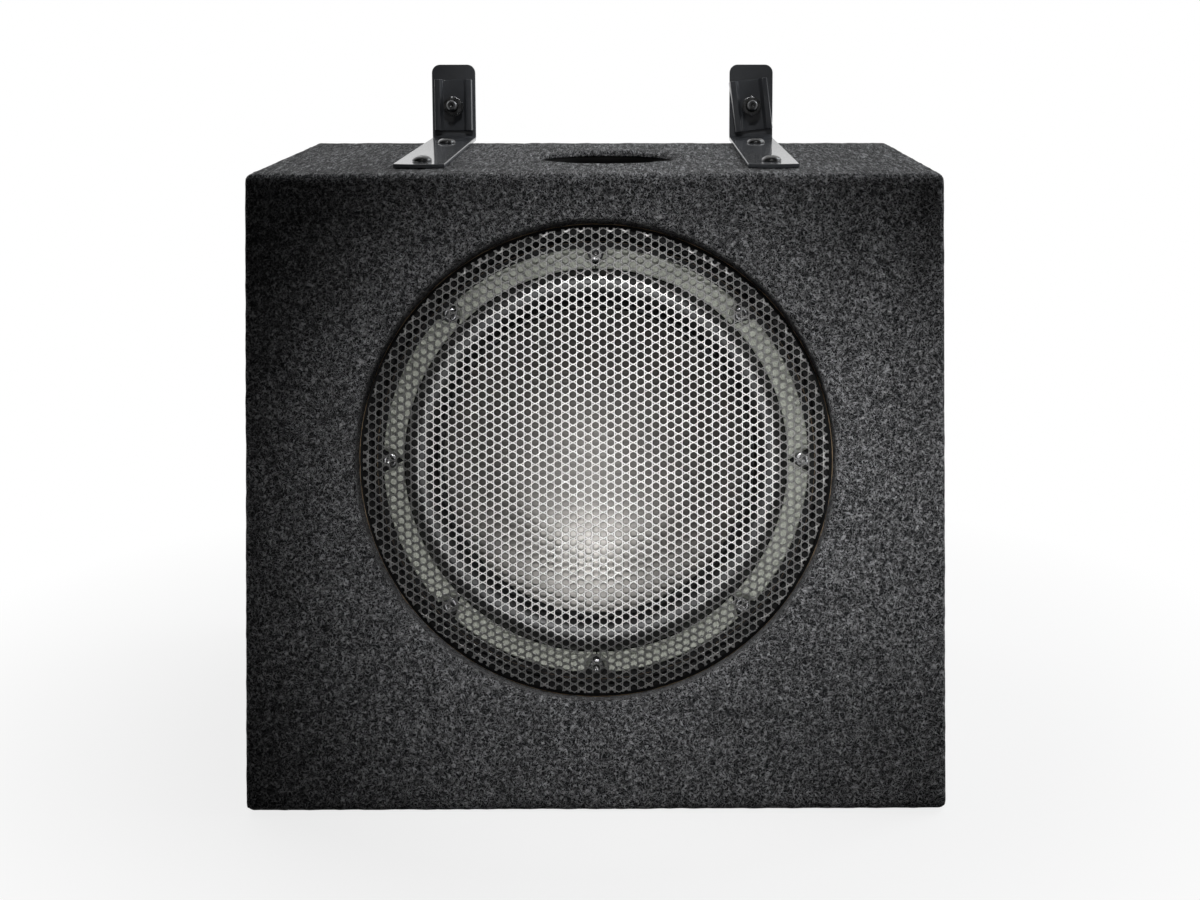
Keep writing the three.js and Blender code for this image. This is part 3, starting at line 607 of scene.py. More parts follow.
def extruded(points, vec):  # a flat outline, drawn out into a bar
    bm = bmesh.new()
    bm.faces.new([bm.verts.new(point) for point in points])
    made = bmesh.ops.extrude_face_region(bm, geom=bm.faces[:])["geom"]
    bmesh.ops.translate(bm, verts=[item for item in made if isinstance(item, bmesh.types.BMVert)], vec=vec)
    bmesh.ops.recalc_face_normals(bm, faces=bm.faces)
    return bm


def ringStack(bm, angles, rings):  # each ring places its points by their angle, and is extruded from the last
    loop = bmesh.ops.create_circle(bm, segments=len(angles), radius=1)["verts"]
    edges = list({edge for vert in loop for edge in vert.link_edges})
    for index, ring in enumerate(rings):
        if index:
            made = bmesh.ops.extrude_edge_only(bm, edges=edges)["geom"]
            fresh = {item for item in made if isinstance(item, bmesh.types.BMVert)}
            edges = [
                item for item in made if isinstance(item, bmesh.types.BMEdge) and set(item.verts) <= fresh
            ]
            loop = [
                next(edge.other_vert(vert) for edge in vert.link_edges if edge.other_vert(vert) in fresh)
                for vert in loop
            ]
        for vert, angle in zip(loop, angles):
            vert.co = ring(angle)
    return loop


def closeEnds(bm):
    bmesh.ops.holes_fill(bm, edges=[edge for edge in bm.edges if edge.is_boundary], sides=0)
    bmesh.ops.recalc_face_normals(bm, faces=bm.faces)
    return bm


def stacked(count, rings):  # a closed piece, from rings of evenly spaced points
    bm = bmesh.new()
    ringStack(bm, evenAngles(count), rings)
    return closeEnds(bm)


def evenAngles(count):
    return [2 * math.pi * i / count for i in range(count)]


def circleRing(radius, z=0.0, centre=(0, 0)):
    return lambda angle: Vector(
        (centre[0] + radius * math.cos(angle), centre[1] + radius * math.sin(angle), z)
    )


def level(radius, z):  # the same ring, in millimetres
    return circleRing(radius * mm, z * mm)


makeCamera()
makeLights()
makeSurroundings()
print("scene: camera, lights and materials ready")


# Speaker lead, from the driver's terminal to the amplifier's cover

lead = {
    "radius": 2.5, "terminalTurn": -math.pi / 6, "terminalReach": 101, "terminalZ": -54,
    "end": (166, 50, 150), "clear": 0.6, "samples": 30,
}


def leadPoints():  # the route's own points, in metres
    outward = Matrix.Rotation(lead["terminalTurn"], 3, "Z") @ Vector((1, 0, 0))
    start = driverPlace @ (
        (outward * (lead["terminalReach"] + lead["clear"]) + Vector((0, 0, lead["terminalZ"]))) * mm
    )
    outward = (driverPlace.to_3x3() @ outward).normalized()
    endX, endY, endZ = lead["end"]
    end = Vector((endX - lead["clear"], endY, endZ)) * mm
    return [
        start,
        start + outward * 6 * mm,
        start + outward * 18 * mm + Vector((0, 8, -6)) * mm,
        Vector(((start.x + end.x) / 2 + 8 * mm, (start.y + end.y) / 2, end.z - 30 * mm)),
        end + Vector((-22, 0, -4)) * mm,
        end + Vector((-6, 0, 0)) * mm,
        end,
    ]


def smoothRoute(points, samples):  # a centripetal curve through the points
    ends = [points[0] * 2 - points[1], *points, points[-1] * 2 - points[-2]]
    made = []
    for i in range(samples + 1):
        at = i / samples * (len(points) - 1)
        part = min(int(at), len(points) - 2)
        a, b, c, d = ends[part:part + 4]
        knots = [0.0]
        for near, far in ((a, b), (b, c), (c, d)):
            knots.append(knots[-1] + math.sqrt((far - near).length))
        t = knots[1] + (knots[2] - knots[1]) * (at - part)

        def between(p, q, start, end):
            return p * ((end - t) / (end - start)) + q * ((t - start) / (end - start))

        first = between(a, b, knots[0], knots[1])
        second = between(b, c, knots[1], knots[2])
        third = between(c, d, knots[2], knots[3])
        near = between(first, second, knots[0], knots[2])
        far = between(second, third, knots[1], knots[3])
        made.append(between(near, far, knots[1], knots[2]))
    return made


def speakerLead():
    route = smoothRoute(leadPoints(), lead["samples"])
    curve = bpy.data.curves.new("speakerLead", "CURVE")
    curve.dimensions = "3D"
    curve.bevel_depth = lead["radius"] * mm
    curve.bevel_resolution = 3
    curve.use_fill_caps = True
    spline = curve.splines.new("POLY")
    spline.points.add(len(route) - 1)
    for point, place in zip(spline.points, route):
        point.co = (*place, 1)
    curve.materials.append(materials["cable_jacket"])
    obj = bpy.data.objects.new("speakerLead", curve)
    scene.collection.objects.link(obj)
    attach(obj, "enclosure")
    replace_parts(obj, "speaker_lead")
    length = sum((b - a).length for a, b in zip(route, route[1:]))
    tuple(route[0])
    print("scene: lead", round(length, 4), "m")


speakerLead()


# Carpet: one felt strip round the front, top, back and underside, and a panel on each side

felt = {
    "thickness": 2.7,
    "cornerRound": 7,
    "edgeRound": 4.5,
    "edgeTurn": math.radians(60),
    "edgeSteps": 4,
    "columns": 112,
    "driverRim": 147,
    "lipRound": 3,
    "lipDepth": 19,
    "portRim": 52.5,
    "portBore": 44.3,
    "portRoll": 3.0,
    "fluff": ((110, 0.32), (420, 0.2)),
    "sideInset": 3.15,
    "sideWall": 1.1,
    "sideSpokes": 180,
    "sideSteps": 24,
    "sideEdge": ((2, 0.12), (0.8, 0.5), (0.15, 1.1), (0, 1.8)),  # inset and depth of each ring
}
enclosureLow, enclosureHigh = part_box("carpet_wrap")
frontMiddle = driverPlace.translation
portMiddle = middleOf("port_tube")


def sideCorners():  # of the enclosure's outline, as (y, z), before its corners are rounded
    foot = frontMiddle.y - (frontMiddle.z - enclosureLow.z) * math.tan(lean)
    top = frontMiddle.y + (enclosureHigh.z - frontMiddle.z) * math.tan(lean)
    return [Vector((foot, enclosureLow.z)), Vector((top, enclosureHigh.z)),
            Vector((enclosureHigh.y, enclosureHigh.z)), Vector((enclosureHigh.y, enclosureLow.z))]


def makeCourse():  # straight and turning lengths round the outline, from the foot of the front
    corners, course = sideCorners(), []
    rounding = felt["cornerRound"] * mm
    turns = []
    for i, corner in enumerate(corners):
        before = (corner - corners[i - 1]).normalized()
        after = (corners[(i + 1) % 4] - corner).normalized()
        turn = before.angle(after)
        turns.append((corner, before, after, turn, rounding * math.tan(turn / 2)))
    for i in range(4):
        corner, _, heading, _, reach = turns[i]
        nextCorner, _, _, nextTurn, nextReach = turns[(i + 1) % 4]
        start = corner + heading * reach
        length = (nextCorner - corner).length - reach - nextReach
        outward = Vector((-heading.y, heading.x))
        course.append({"length": length, "start": start, "heading": heading, "outward": outward})
        end = start + heading * length
        course.append(
            {
                "length": rounding * nextTurn,
                "centre": end - outward * rounding,
                "outward": outward,
                "turn": nextTurn,
            }
        )
    at = 0.0
    for part in course:
        part["from"] = at
        at += part["length"]
    return course, at


course, courseLength = makeCourse()


def rolled(across, along, height):  # a point of the flat felt, carried onto the enclosure
    half = enclosureHigh.x - felt["edgeRound"] * mm
    over = abs(across) - half
    if over > 0:
        turn = over / (felt["edgeRound"] * mm)
        out = half + (felt["edgeRound"] * mm + height) * math.sin(turn)
        x = math.copysign(out, across)
        height = height * math.cos(turn) - felt["edgeRound"] * mm * (1 - math.cos(turn))
    else:
        x = across
    along = along % courseLength
    part = next(item for item in reversed(course) if along >= item["from"] - 1e-9)
    reach = along - part["from"]
    if "centre" in part:
        angle = -reach / part["length"] * part["turn"]
        outward = Matrix.Rotation(angle, 2) @ part["outward"]
        point = part["centre"] + outward * (felt["cornerRound"] * mm + height)
    else:
        point = part["start"] + part["heading"] * reach + part["outward"] * height
    return Vector((x, point.x, point.y))


def feltGrid(bm, columns, rows):
    made = bmesh.ops.create_grid(bm, x_segments=len(columns) - 1, y_segments=len(rows) - 1, size=0.5)["verts"]
    for vert in made:
        column = columns[round((vert.co.x + 0.5) * (len(columns) - 1))]
        row = rows[round((vert.co.y + 0.5) * (len(rows) - 1))]
        vert.co = (column, row, 0)


def spaced(low, high, count):
    return [low + (high - low) * i / count for i in range(count + 1)]


# a panel with a round hole; rims are (radius, height)
def ringedPanel(bm, columns, rows, centre, rims, rings):
    border = [(x, rows[0]) for x in columns[:-1]] + [(columns[-1], y) for y in rows[:-1]]
    border += [(x, rows[-1]) for x in reversed(columns[1:])] + [(columns[0], y) for y in reversed(rows[1:])]
    angles = [math.atan2(y - centre[1], x - centre[0]) for x, y in border]
    places = dict(zip(angles, border))

    def ring(share):
        def place(angle):
            x, y = places[angle]
            nearX = centre[0] + rims[0][0] * math.cos(angle)
            nearY = centre[1] + rims[0][0] * math.sin(angle)
            return Vector((nearX + (x - nearX) * share, nearY + (y - nearY) * share, 0))
        return place

    lip = [circleRing(radius, height, centre) for radius, height in reversed(rims)]
    shares = [(i / rings) ** 1.15 for i in range(1, rings + 1)]
    ringStack(bm, angles, lip + [ring(share) for share in shares])


def fluffed(bm):  # the felt's uneven face
    bm.normal_update()
    for vert in bm.verts:
        lift = sum(noise.noise(vert.co * scale) * depth * mm for scale, depth in felt["fluff"])
        vert.co += vert.normal * lift


def carpetWrap():
    bm = bmesh.new()
    half = (enclosureHigh.x / mm - felt["edgeRound"]) * mm
    curl = felt["edgeRound"] * mm * felt["edgeTurn"]
    middleColumns = spaced(-half, half, felt["columns"])
    leftColumns = spaced(-half - curl, -half, felt["edgeSteps"])
    rightColumns = spaced(half, half + curl, felt["edgeSteps"])
    everyColumn = leftColumns[:-1] + middleColumns + rightColumns[1:]
    lipRound = felt["lipRound"]
    lipTurns = spaced(0, math.pi / 2, 4)
    driverLip = [
        ((felt["driverRim"] - lipRound * math.sin(a)) * mm, -lipRound * (1 - math.cos(a)) * mm)
        for a in lipTurns
    ]
    driverLip += [
        ((felt["driverRim"] - lipRound) * mm, -z * mm) for z in spaced(lipRound, felt["lipDepth"], 6)[1:]
    ]
    portSpread = felt["portRim"] - felt["portBore"]
    portLip = [
        ((felt["portRim"] - portSpread * math.sin(a)) * mm, -felt["portRoll"] * (1 - math.cos(a)) * mm)
        for a in lipTurns
    ]
    rowCounts = [104, 5, 66, 5, 44, 5, 14, 5]
    for index, (part, count) in enumerate(zip(course, rowCounts)):
        rows = spaced(part["from"], part["from"] + part["length"], count)
        if index == 0:
            drop = (Vector((frontMiddle.y, frontMiddle.z)) - part["start"]).dot(part["heading"])
            ringedPanel(bm, middleColumns, rows, (frontMiddle.x, drop), driverLip, 36)
        elif index == 2:
            reach = part["from"] + portMiddle.y - part["start"].x
            ringedPanel(bm, middleColumns, rows, (portMiddle.x, reach), portLip, 18)
        else:
            feltGrid(bm, everyColumn, rows)
            continue
        feltGrid(bm, leftColumns, rows)
        feltGrid(bm, rightColumns, rows)
    for vert in bm.verts:
        vert.co = rolled(*vert.co)
    bmesh.ops.remove_doubles(bm, verts=bm.verts, dist=2e-5)
    faceOutward(bm, (enclosureLow + enclosureHigh) / 2)
    fluffed(bm)
    bmesh.ops.solidify(bm, geom=bm.faces[:], thickness=felt["thickness"] * mm)
    return addPiece("carpetWrap", bm, "carpet", "enclosure", ["carpet_wrap"], 80)


def outlineRay(corners, centre, angle):  # where a ray from the centre leaves the outline
    heading = Vector((math.cos(angle), math.sin(angle)))
    best = None
    for i, corner in enumerate(corners):
        side = corners[(i + 1) % len(corners)] - corner
        cross = heading.cross(side)
        if abs(cross) < 1e-12:
            continue
        reach = (corner - centre).cross(side) / cross
        share = (corner - centre).cross(heading) / cross
        if reach > 0 and -1e-6 <= share <= 1 + 1e-6 and (best is None or reach < best):
            best = reach
    return centre + heading * best


def insetOutline(corners, inset):
    made = []
    for i, corner in enumerate(corners):
        before = (corner - corners[i - 1]).normalized()
        after = (corners[(i + 1) % len(corners)] - corner).normalized()
        inward = (Vector((before.y, -before.x)) + Vector((after.y, -after.x))).normalized()
        made.append(corner + inward * inset / math.cos(before.angle(after) / 2))
    return made


def carpetSide(name, side, hole):
    bm = bmesh.new()
    outer = insetOutline(sideCorners(), felt["sideInset"] * mm)
    centre = Vector((hole[0].y + hole[1].y, hole[0].z + hole[1].z)) / 2 if hole else Vector((0.02, 0.18))
    angles = sorted(
        evenAngles(felt["sideSpokes"]) + [
            math.atan2(*(corner - centre).yx) % (2 * math.pi) for corner in outer
        ]
    )
    x = enclosureHigh.x

    def ring(inset, depth):
        corners = insetOutline(outer, inset * mm)
        return lambda angle: Vector((side * (x - depth * mm), *outlineRay(corners, centre, angle)))

    def inner(angle):
        if not hole:
            return Vector((side * x, centre.x, centre.y))
        low, high = hole
        holeCorners = [
            Vector((y, z)) for y, z in ((low.y, low.z), (low.y, high.z), (high.y, high.z), (high.y, low.z))
        ]
        return Vector((side * x, *outlineRay(holeCorners, centre, angle)))

    def between(share):
        flat = ring(4, 0)
        return lambda angle: inner(angle).lerp(flat(angle), share)

    shares = [0 if hole else 0.001] + spaced(0, 1, felt["sideSteps"])[1:]
    rings = [between(share) for share in shares] + [ring(*values) for values in felt["sideEdge"]]
    ringStack(bm, angles, rings)
    if not hole:
        bmesh.ops.contextual_create(
            bm,
            geom=[
                edge
                for edge in bm.edges
                if edge.is_boundary and (edge.verts[0].co.yz - centre).length < 0.01
            ],
        )
    faceOutward(bm, (enclosureLow + enclosureHigh) / 2)
    fluffed(bm)
    bmesh.ops.solidify(bm, geom=bm.faces[:], thickness=felt["sideWall"] * mm)
    return addPiece(name, bm, "carpet", "enclosure", [], 80)


carpetWrap()
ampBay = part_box("amp_cover")
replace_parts(carpetSide("carpetRight", 1, ampBay), "carpet_right")
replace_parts(carpetSide("carpetLeft", -1, None), "carpet_left")
print("scene: carpet ready")


# Grille: a pressed sheet full of hexagonal holes, and the ring behind its rim

grille = {
    "pitch": 5.2, "web": 1.15, "disc": 109, "rim": 140.8, "fall": 13, "sheet": 1.1, "proud": 1.5, "bend": 5,
    "sides": 120, "chamfer": 0.2,
}
ringSection = [
    [133.3, -19.1], [143.7, -19.1], [143.7, -18.5], [141.2, -18.3], [141, -13.2], [139.5, -12.6],
    [136, -13], [135, -14], [134.8, -18.2], [133.3, -18.5],
]


def hexagons(bm, centres):
    radius = grille["pitch"] / math.sqrt(3) * mm
    for x, y in centres:
        bmesh.ops.create_circle(
            bm, segments=6, radius=radius, cap_ends=True, matrix=Matrix.Translation((x * mm, y * mm, 0))
        )
    holes = bm.faces[:]
    bmesh.ops.inset_individual(
        bm, faces=holes, thickness=(grille["web"] / 2 - grille["chamfer"]) * mm, use_even_offset=True
    )
    bmesh.ops.inset_individual(bm, faces=holes, thickness=grille["chamfer"] * mm, use_even_offset=True)
    for vert in {vert for face in holes for vert in face.verts}:
        vert.co.z -= grille["chamfer"] * mm
    bmesh.ops.delete(bm, geom=holes, context="FACES")


def grilleHeight(radius):  # of the pressed face, in millimetres, from the flat disc
    bend = grille["bend"]
    slope = grille["fall"] / (grille["rim"] - grille["disc"])
    over = radius - grille["disc"] + bend / 2
    if over <= 0:
        return 0.0
    if over < bend:
        return -slope * over * over / (2 * bend)
    return -slope * (over - bend / 2)


def grilleSheet():
    pitch, rim = grille["pitch"], grille["rim"]
    columns = math.ceil(rim / (pitch * 0.866)) + 1
    inner, outer = [], []
    for column in range(-columns, columns + 1):
        for row in range(-columns, columns + 1):
            x = column * pitch * math.sqrt(3) / 2
            y = (row + (column % 2) / 2) * pitch
            far = math.hypot(x, y)
            if far < rim + pitch * 0.6:
                (inner if far < rim - pitch else outer).append((x, y))
    bm = bmesh.new()
    hexagons(bm, outer)
    for i in range(grille["sides"]):
        angle = 2 * math.pi * i / grille["sides"]
        outward = Vector((math.cos(angle), math.sin(angle), 0))
        bmesh.ops.bisect_plane(
            bm,
            geom=bm.verts[:] + bm.edges[:] + bm.faces[:],
            plane_co=outward * rim * mm,
            plane_no=outward,
            clear_outer=True,
        )
    trimmed = bpy.data.meshes.new("grilleRim")
    bm.to_mesh(trimmed)
    bm.clear()
    hexagons(bm, inner)
    bm.from_mesh(trimmed)
    bpy.data.meshes.remove(trimmed)
    bmesh.ops.remove_doubles(bm, verts=bm.verts, dist=2e-6)
    faceOutward(bm, Vector((0, 0, -1)))
    for vert in bm.verts:
        vert.co.z += (grille["proud"] + grilleHeight(vert.co.xy.length / mm)) * mm
    bmesh.ops.solidify(bm, geom=bm.faces[:], thickness=grille["sheet"] * mm)
    return addPiece("grilleSheet", moved(bm, driverPlace), "grille_steel", "enclosure", ["grille_mesh"], 30)


grilleSheet()
addPiece(
    "grilleRing",
    moved(spun(ringSection, 128), driverPlace),
    "grille_ring_plastic",
    "enclosure",
    ["grille_ring"],
)
print("scene: grille ready")


# Driver, from the gasket in front to the magnet behind, in its own frame

driver = {
    "flange": -17.3,
    "screwCircle": 125,
    "screws": 8,
    "screwSize": (2.2, 5, 3.1, 24, 1.9),
    "gasketHeight": 3.4,
    "notch": 7.4,
    "rollMiddle": 106,
    "rollReach": 9.8,
    "rollRise": 9,
    "rollBase": -16.9,
    "dishRim": 92.5,
    "dishFace": -15.2,
    "dishDepth": 22,
    "spiderRadii": (25.9, 64.6),
    "spiderWaves": 5,
    "basketLine": [
        [132.9, -17.4], [111.2, -17.4], [110.4, -22], [100, -34], [86, -50.5], [72, -66.5], [64.6, -76],
        [63.2, -94.2], [30.2, -94.2],
    ],
    "basketWall": 1.8,
    "windowZs": (-66, -35),
    "windowHalf": 20,
    "coneSection": [
        [95.7, -15.8], [95.9, -16.4], [95.9, -18.2], [95.4, -18.8], [27.2, -64.8], [25.7, -64.8],
        [25.7, -62.6], [92.9, -17.6], [93.3, -17.2], [93.3, -15.8],
    ],
}
seat = driver["flange"] + 0.3  # under the gasket and the screw heads


def driverPiece(name, bm, slot, body="enclosure", nodes=()):
    return addPiece(name, moved(bm, driverPlace), slot, body, nodes)


def basket():
    bm = spun(driver["basketLine"], 144, closed=False)
    bottom, top = driver["windowZs"]
    gone = []
    for face in bm.faces:
        point = face.calc_center_median() / mm
        around = math.atan2(point.y, point.x) % (math.pi / 3)
        around = min(around, math.pi / 3 - around)
        if bottom < point.z < top and point.xy.length * math.sin(around) < driver["windowHalf"]:
            gone.append(face)
    bmesh.ops.delete(bm, geom=gone, context="FACES")
    faceOutward(bm, Vector((0, 0, -40 * mm)))
    bmesh.ops.reverse_faces(bm, faces=bm.faces)
    bmesh.ops.solidify(bm, geom=bm.faces[:], thickness=driver["basketWall"] * mm)
    driverPiece("basket", bm, "basket_steel", nodes=["driver_basket"])


def gasket():
    top = seat + driver["gasketHeight"]
    section = [
        [116.4, seat], [128.6, seat], [128.6, top - 0.7], [127.9, top], [126, top], [124, top], [122, top],
        [120, top], [118.4, top], [117.2, top], [116.4, top - 0.7],
    ]
    arcs = []
    circle, notch = driver["screwCircle"], driver["notch"]
    half = math.pi / driver["screws"]
    for i in range(driver["screws"]):
        bm = spun(section, 28, angle=2 * half)
        bmesh.ops.holes_fill(bm, edges=[edge for edge in bm.edges if edge.is_boundary], sides=len(section))
        for vert in bm.verts:
            radius = vert.co.xy.length
            share = math.atan2(vert.co.y, vert.co.x) / half - 1
            reach = ((radius / mm) ** 2 + circle**2 - notch**2) / (2 * radius / mm * circle)
            room = half - (math.acos(reach) if abs(reach) < 1 else 0) - 0.003
            angle = share * room
            vert.co.x, vert.co.y = radius * math.cos(angle), radius * math.sin(angle)
        arcs.append(moved(bm, Matrix.Rotation(math.pi / 2 + (2 * i + 1) * half, 4, "Z")))
    whole = merged(arcs)
    bmesh.ops.recalc_face_normals(whole, faces=whole.faces)
    driverPiece("gasket", whole, "gasket_foam", nodes=["driver_gasket"])


def hexRing(flat, z):
    def place(angle):
        radius = flat / math.cos((angle + math.pi / 6) % (math.pi / 3) - math.pi / 6)
        return Vector((radius * math.cos(angle), radius * math.sin(angle), z))
    return place


def socketScrew(shank, head, height, length, socket):  # a round head with a hexagon socket, seated at z 0
    rings = [
        level(0.4, -length),
        level(shank, 3 - length),
        level(shank, 0),
        level(head, 0),
        level(head, 0.55 * height),
        level(0.93 * head, 0.86 * height),
        level(0.78 * head, height),
        level(socket * 1.25, height),
        hexRing(socket * mm, (height - 0.2) * mm),
        hexRing(socket * mm, (height - 1.6) * mm),
        level(0.1, height - 2.1),
    ]
    return stacked(24, rings)


def driverScrews():
    for i in range(driver["screws"]):
        angle = math.pi / 2 - i * 2 * math.pi / driver["screws"]
        place = Matrix.Translation(
            (
                driver["screwCircle"] * mm * math.cos(angle),
                driver["screwCircle"] * mm * math.sin(angle),
                seat * mm,
            )
        )
        screw = moved(socketScrew(*driver["screwSize"]), place @ Matrix.Rotation(0.7 * i, 4, "Z"))
        driverPiece(f"driverScrew{i + 1}", screw, "black_screw", nodes=[f"driver_screw_{i + 1}"])


# bakes the piece's placement into its mesh; the piece stays tied to no body
def radialBlend(obj):
    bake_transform(obj)


def surround():
    middle, base = driver["rollMiddle"], driver["rollBase"]

    def arc(reach, rise):
        return [[middle + reach * math.cos(a), base + rise * math.sin(a)] for a in spaced(0, math.pi, 18)]

    outer = arc(driver["rollReach"], driver["rollRise"])
    inner = arc(driver["rollReach"] - 1.1, driver["rollRise"] - 1.1)
    bm = spun(outer + inner[::-1], 160)
    obj = addPiece("surround", moved(bm, driverPlace), "surround_rubber", None, ["surround"])
    radialBlend(obj)


def cone():
    driverPiece("cone", spun(driver["coneSection"], 128), "cone_paper", "driver_cone", ["cone"])
    rim, depth, face = driver["dishRim"], driver["dishDepth"], driver["dishFace"]

    def bowl(drop):
        return [[rim * share, face - drop - depth * (1 - share * share)] for share in spaced(0, 1, 22)]

    front = bowl(0)
    front[-1] = [rim - 0.3, face - 0.15]
    dish = spun(bowl(1.3) + [[rim, face - 0.7]] + front[::-1], 144, closed=False)
    driverPiece("dish", dish, "dish_metal", "driver_cone", ["cone_dish"])


def voiceCoil():
    driverPiece(
        "coilFormer",
        spun([[24.9, -109.5], [25.4, -109.5], [25.4, -57], [24.9, -57]], 96),
        "former_film",
        "driver_cone",
        ["voice_coil_former"],
    )
    turns = [[26.85 - 0.2 * (i % 2), -109 + i * 0.5] for i in range(37)]
    driverPiece(
        "coil", spun([[25.7, -91], [25.7, -109]] + turns, 96), "copper_wire", "driver_cone", ["voice_coil"]
    )


def spider():
    inner, outer = driver["spiderRadii"]

    def face(z):
        return [
            [
                inner + (outer - inner) * share,
                z + 1.7 * math.sin(share * driver["spiderWaves"] * 2 * math.pi),
            ]
            for share in spaced(0, 1, 60)
        ]

    bm = spun(face(-72.1) + face(-71.3)[::-1], 120)
    obj = addPiece("spider", moved(bm, driverPlace), "spider_cloth", None, ["spider"])
    radialBlend(obj)


def motor():
    for name, node, slot, soft, profile in (
        (
            "topPlate",
            "top_plate",
            "motor_steel",
            0.8,
            [[27.6, -104], [62, -104], [62, -96.3], [27.6, -96.3]],
        ),
        ("magnet", "magnet", "ferrite", 1.6, [[33, -127.7], [70, -127.7], [70, -104.3], [33, -104.3]]),
        (
            "backPlate",
            "back_plate",
            "motor_steel",
            0.8,
            [[0, -136], [58, -136], [62, -132], [62, -128], [24.3, -128], [24.3, -95], [0, -95]],
        ),
    ):
        bm = spun(profile, 96, closed=profile[0][0] > 0)
        softenEdges(bm, soft)
        driverPiece(name, bm, slot, nodes=[node])


basket()
gasket()
driverScrews()
surround()
cone()
voiceCoil()
spider()
motor()
print("scene: driver ready")


# Clamp brackets over the rear edge

clamp = {
    "width": 32,
    "plate": 2.5,
    "bend": 3,
    "corner": 6,
    "bulge": 7,
    "upright": 53,
    "soft": 0.45,
    "hingeDrop": 22,  # from the stud down to the foot's level, along the upright
    "screwSize": (2.4, 6.2, 3.4, 24),
    "stud": 3.6,
    "thread": (1.0, 17.6),
    "pitch": 1.25,
    "jawSection": [  # one half, which is mirrored
        [7.6, 2.3], [9.5, 6.3], [13.4, 6.3], [14.4, 0.3], [12.4, 0.3], [11.7, 4.3], [10.7, 4.3], [9.1, 0.3]
    ],
    "jawFrom": -17.2,
    "jawLength": 37,
    "washerSection": [[4.1, 2.6], [7.2, 2.6], [7.2, 4.1], [4.1, 4.1]],
    "nutRadius": 7.3,
    "nutZs": (4.4, 10.6),
}


def bracket(side, x):
    low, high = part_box(f"bracket_{side}")
    tilt = math.asin(clampPlaces[side].col[2].z)
    half, thick, bend = clamp["width"] / 2 * mm, clamp["plate"] * mm, clamp["bend"] * mm
    footTop = low.z + thick
    turn = math.pi / 2 - tilt
    # where the upright's face meets the foot's level
    hinge = clampPlaces[side].translation - clampPlaces[side].col[1].xyz * clamp["hingeDrop"] * mm
    bendY = hinge.y + bend * (1 - math.sin(tilt)) * math.tan(tilt) - bend * math.cos(tilt)
    flatLength = bendY - low.y
    bentLength = flatLength + bend * turn
    startOfUpright = Vector((bendY + bend * math.sin(turn), footTop + bend * (1 - math.cos(turn))))
    upward = Vector((math.sin(tilt), math.cos(tilt)))
    top = hinge.yz + upward * clamp["upright"] * mm
    length = bentLength + (top - startOfUpright).dot(upward)
    bulge, corner = clamp["bulge"] * mm, clamp["corner"] * mm
    outline = []
    for share in spaced(-1, 1, 14):
        outline.append((share * half, bulge * (0.5 + 0.5 * share * share) - bulge / 2))
    outline += [
        (half - corner + corner * math.cos(a), length - corner + corner * math.sin(a))
        for a in spaced(0, math.pi / 2, 7)
    ]
    outline += [
        (-half + corner - corner * math.sin(a), length - corner + corner * math.cos(a))
        for a in spaced(0, math.pi / 2, 7)
    ]
    bm = extruded([(across, along, 0) for across, along in outline], (0, 0, -thick))
    softenEdges(bm, clamp["soft"], 2)
    for at in spaced(flatLength, bentLength, 8):
        bmesh.ops.bisect_plane(
            bm, geom=bm.verts[:] + bm.edges[:] + bm.faces[:], plane_co=(0, at, 0), plane_no=(0, 1, 0)
        )
    for vert in bm.verts:
        across, along, depth = vert.co
        if along <= flatLength:
            y, z = low.y + along, footTop + depth
        elif along <= bentLength:
            angle = (along - flatLength) / bend
            y = bendY + (bend - depth) * math.sin(angle)
            z = footTop + bend - (bend - depth) * math.cos(angle)
        else:
            point = startOfUpright + upward * (along - bentLength) + Vector((-upward.y, upward.x)) * depth
            y, z = point
        vert.co = (x + across, y, z)
    bmesh.ops.recalc_face_normals(bm, faces=bm.faces)
    addPiece(f"bracket{side.title()}", bm, "bracket_steel", "enclosure", [f"bracket_{side}"], 20)
    for name in ("front", "rear"):
        node = f"bracket_screw_{side}_{name}"
        low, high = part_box(node)
        seatZ = high.z - clamp["screwSize"][2] * mm
        place = Matrix.Translation(
            ((low.x + high.x) / 2, (low.y + high.y) / 2, seatZ)
        ) @ Matrix.Rotation(0.5, 4, "Z")
        screw = moved(panScrew(*clamp["screwSize"]), place)
        addPiece(f"bracketScrew{side.title()}{name.title()}", screw, "black_screw", "enclosure", [node], 40)


def crossRing(reach, waist, z):
    def place(angle):
        arm = abs(math.cos(2 * angle)) ** 3
        radius = waist + (reach - waist) * arm
        return Vector((radius * math.cos(angle), radius * math.sin(angle), z))
    return place


def panScrew(shank, head, height, length):  # a domed head with a cross recess, seated at z 0
    dome = [level(head * math.cos(a), 0.35 + (height - 0.35) * math.sin(a)) for a in spaced(0, 1.05, 6)]
    rings = [level(0.4, -length), level(shank, 4 - length), level(shank, 0), level(head, 0)] + dome
    rings += [
        crossRing(2.6 * mm, 0.9 * mm, (height - 0.25) * mm),
        crossRing(2.3 * mm, 0.7 * mm, (height - 1.5) * mm),
    ]
    rings.append(level(0.1, height - 2))
    return stacked(32, rings)


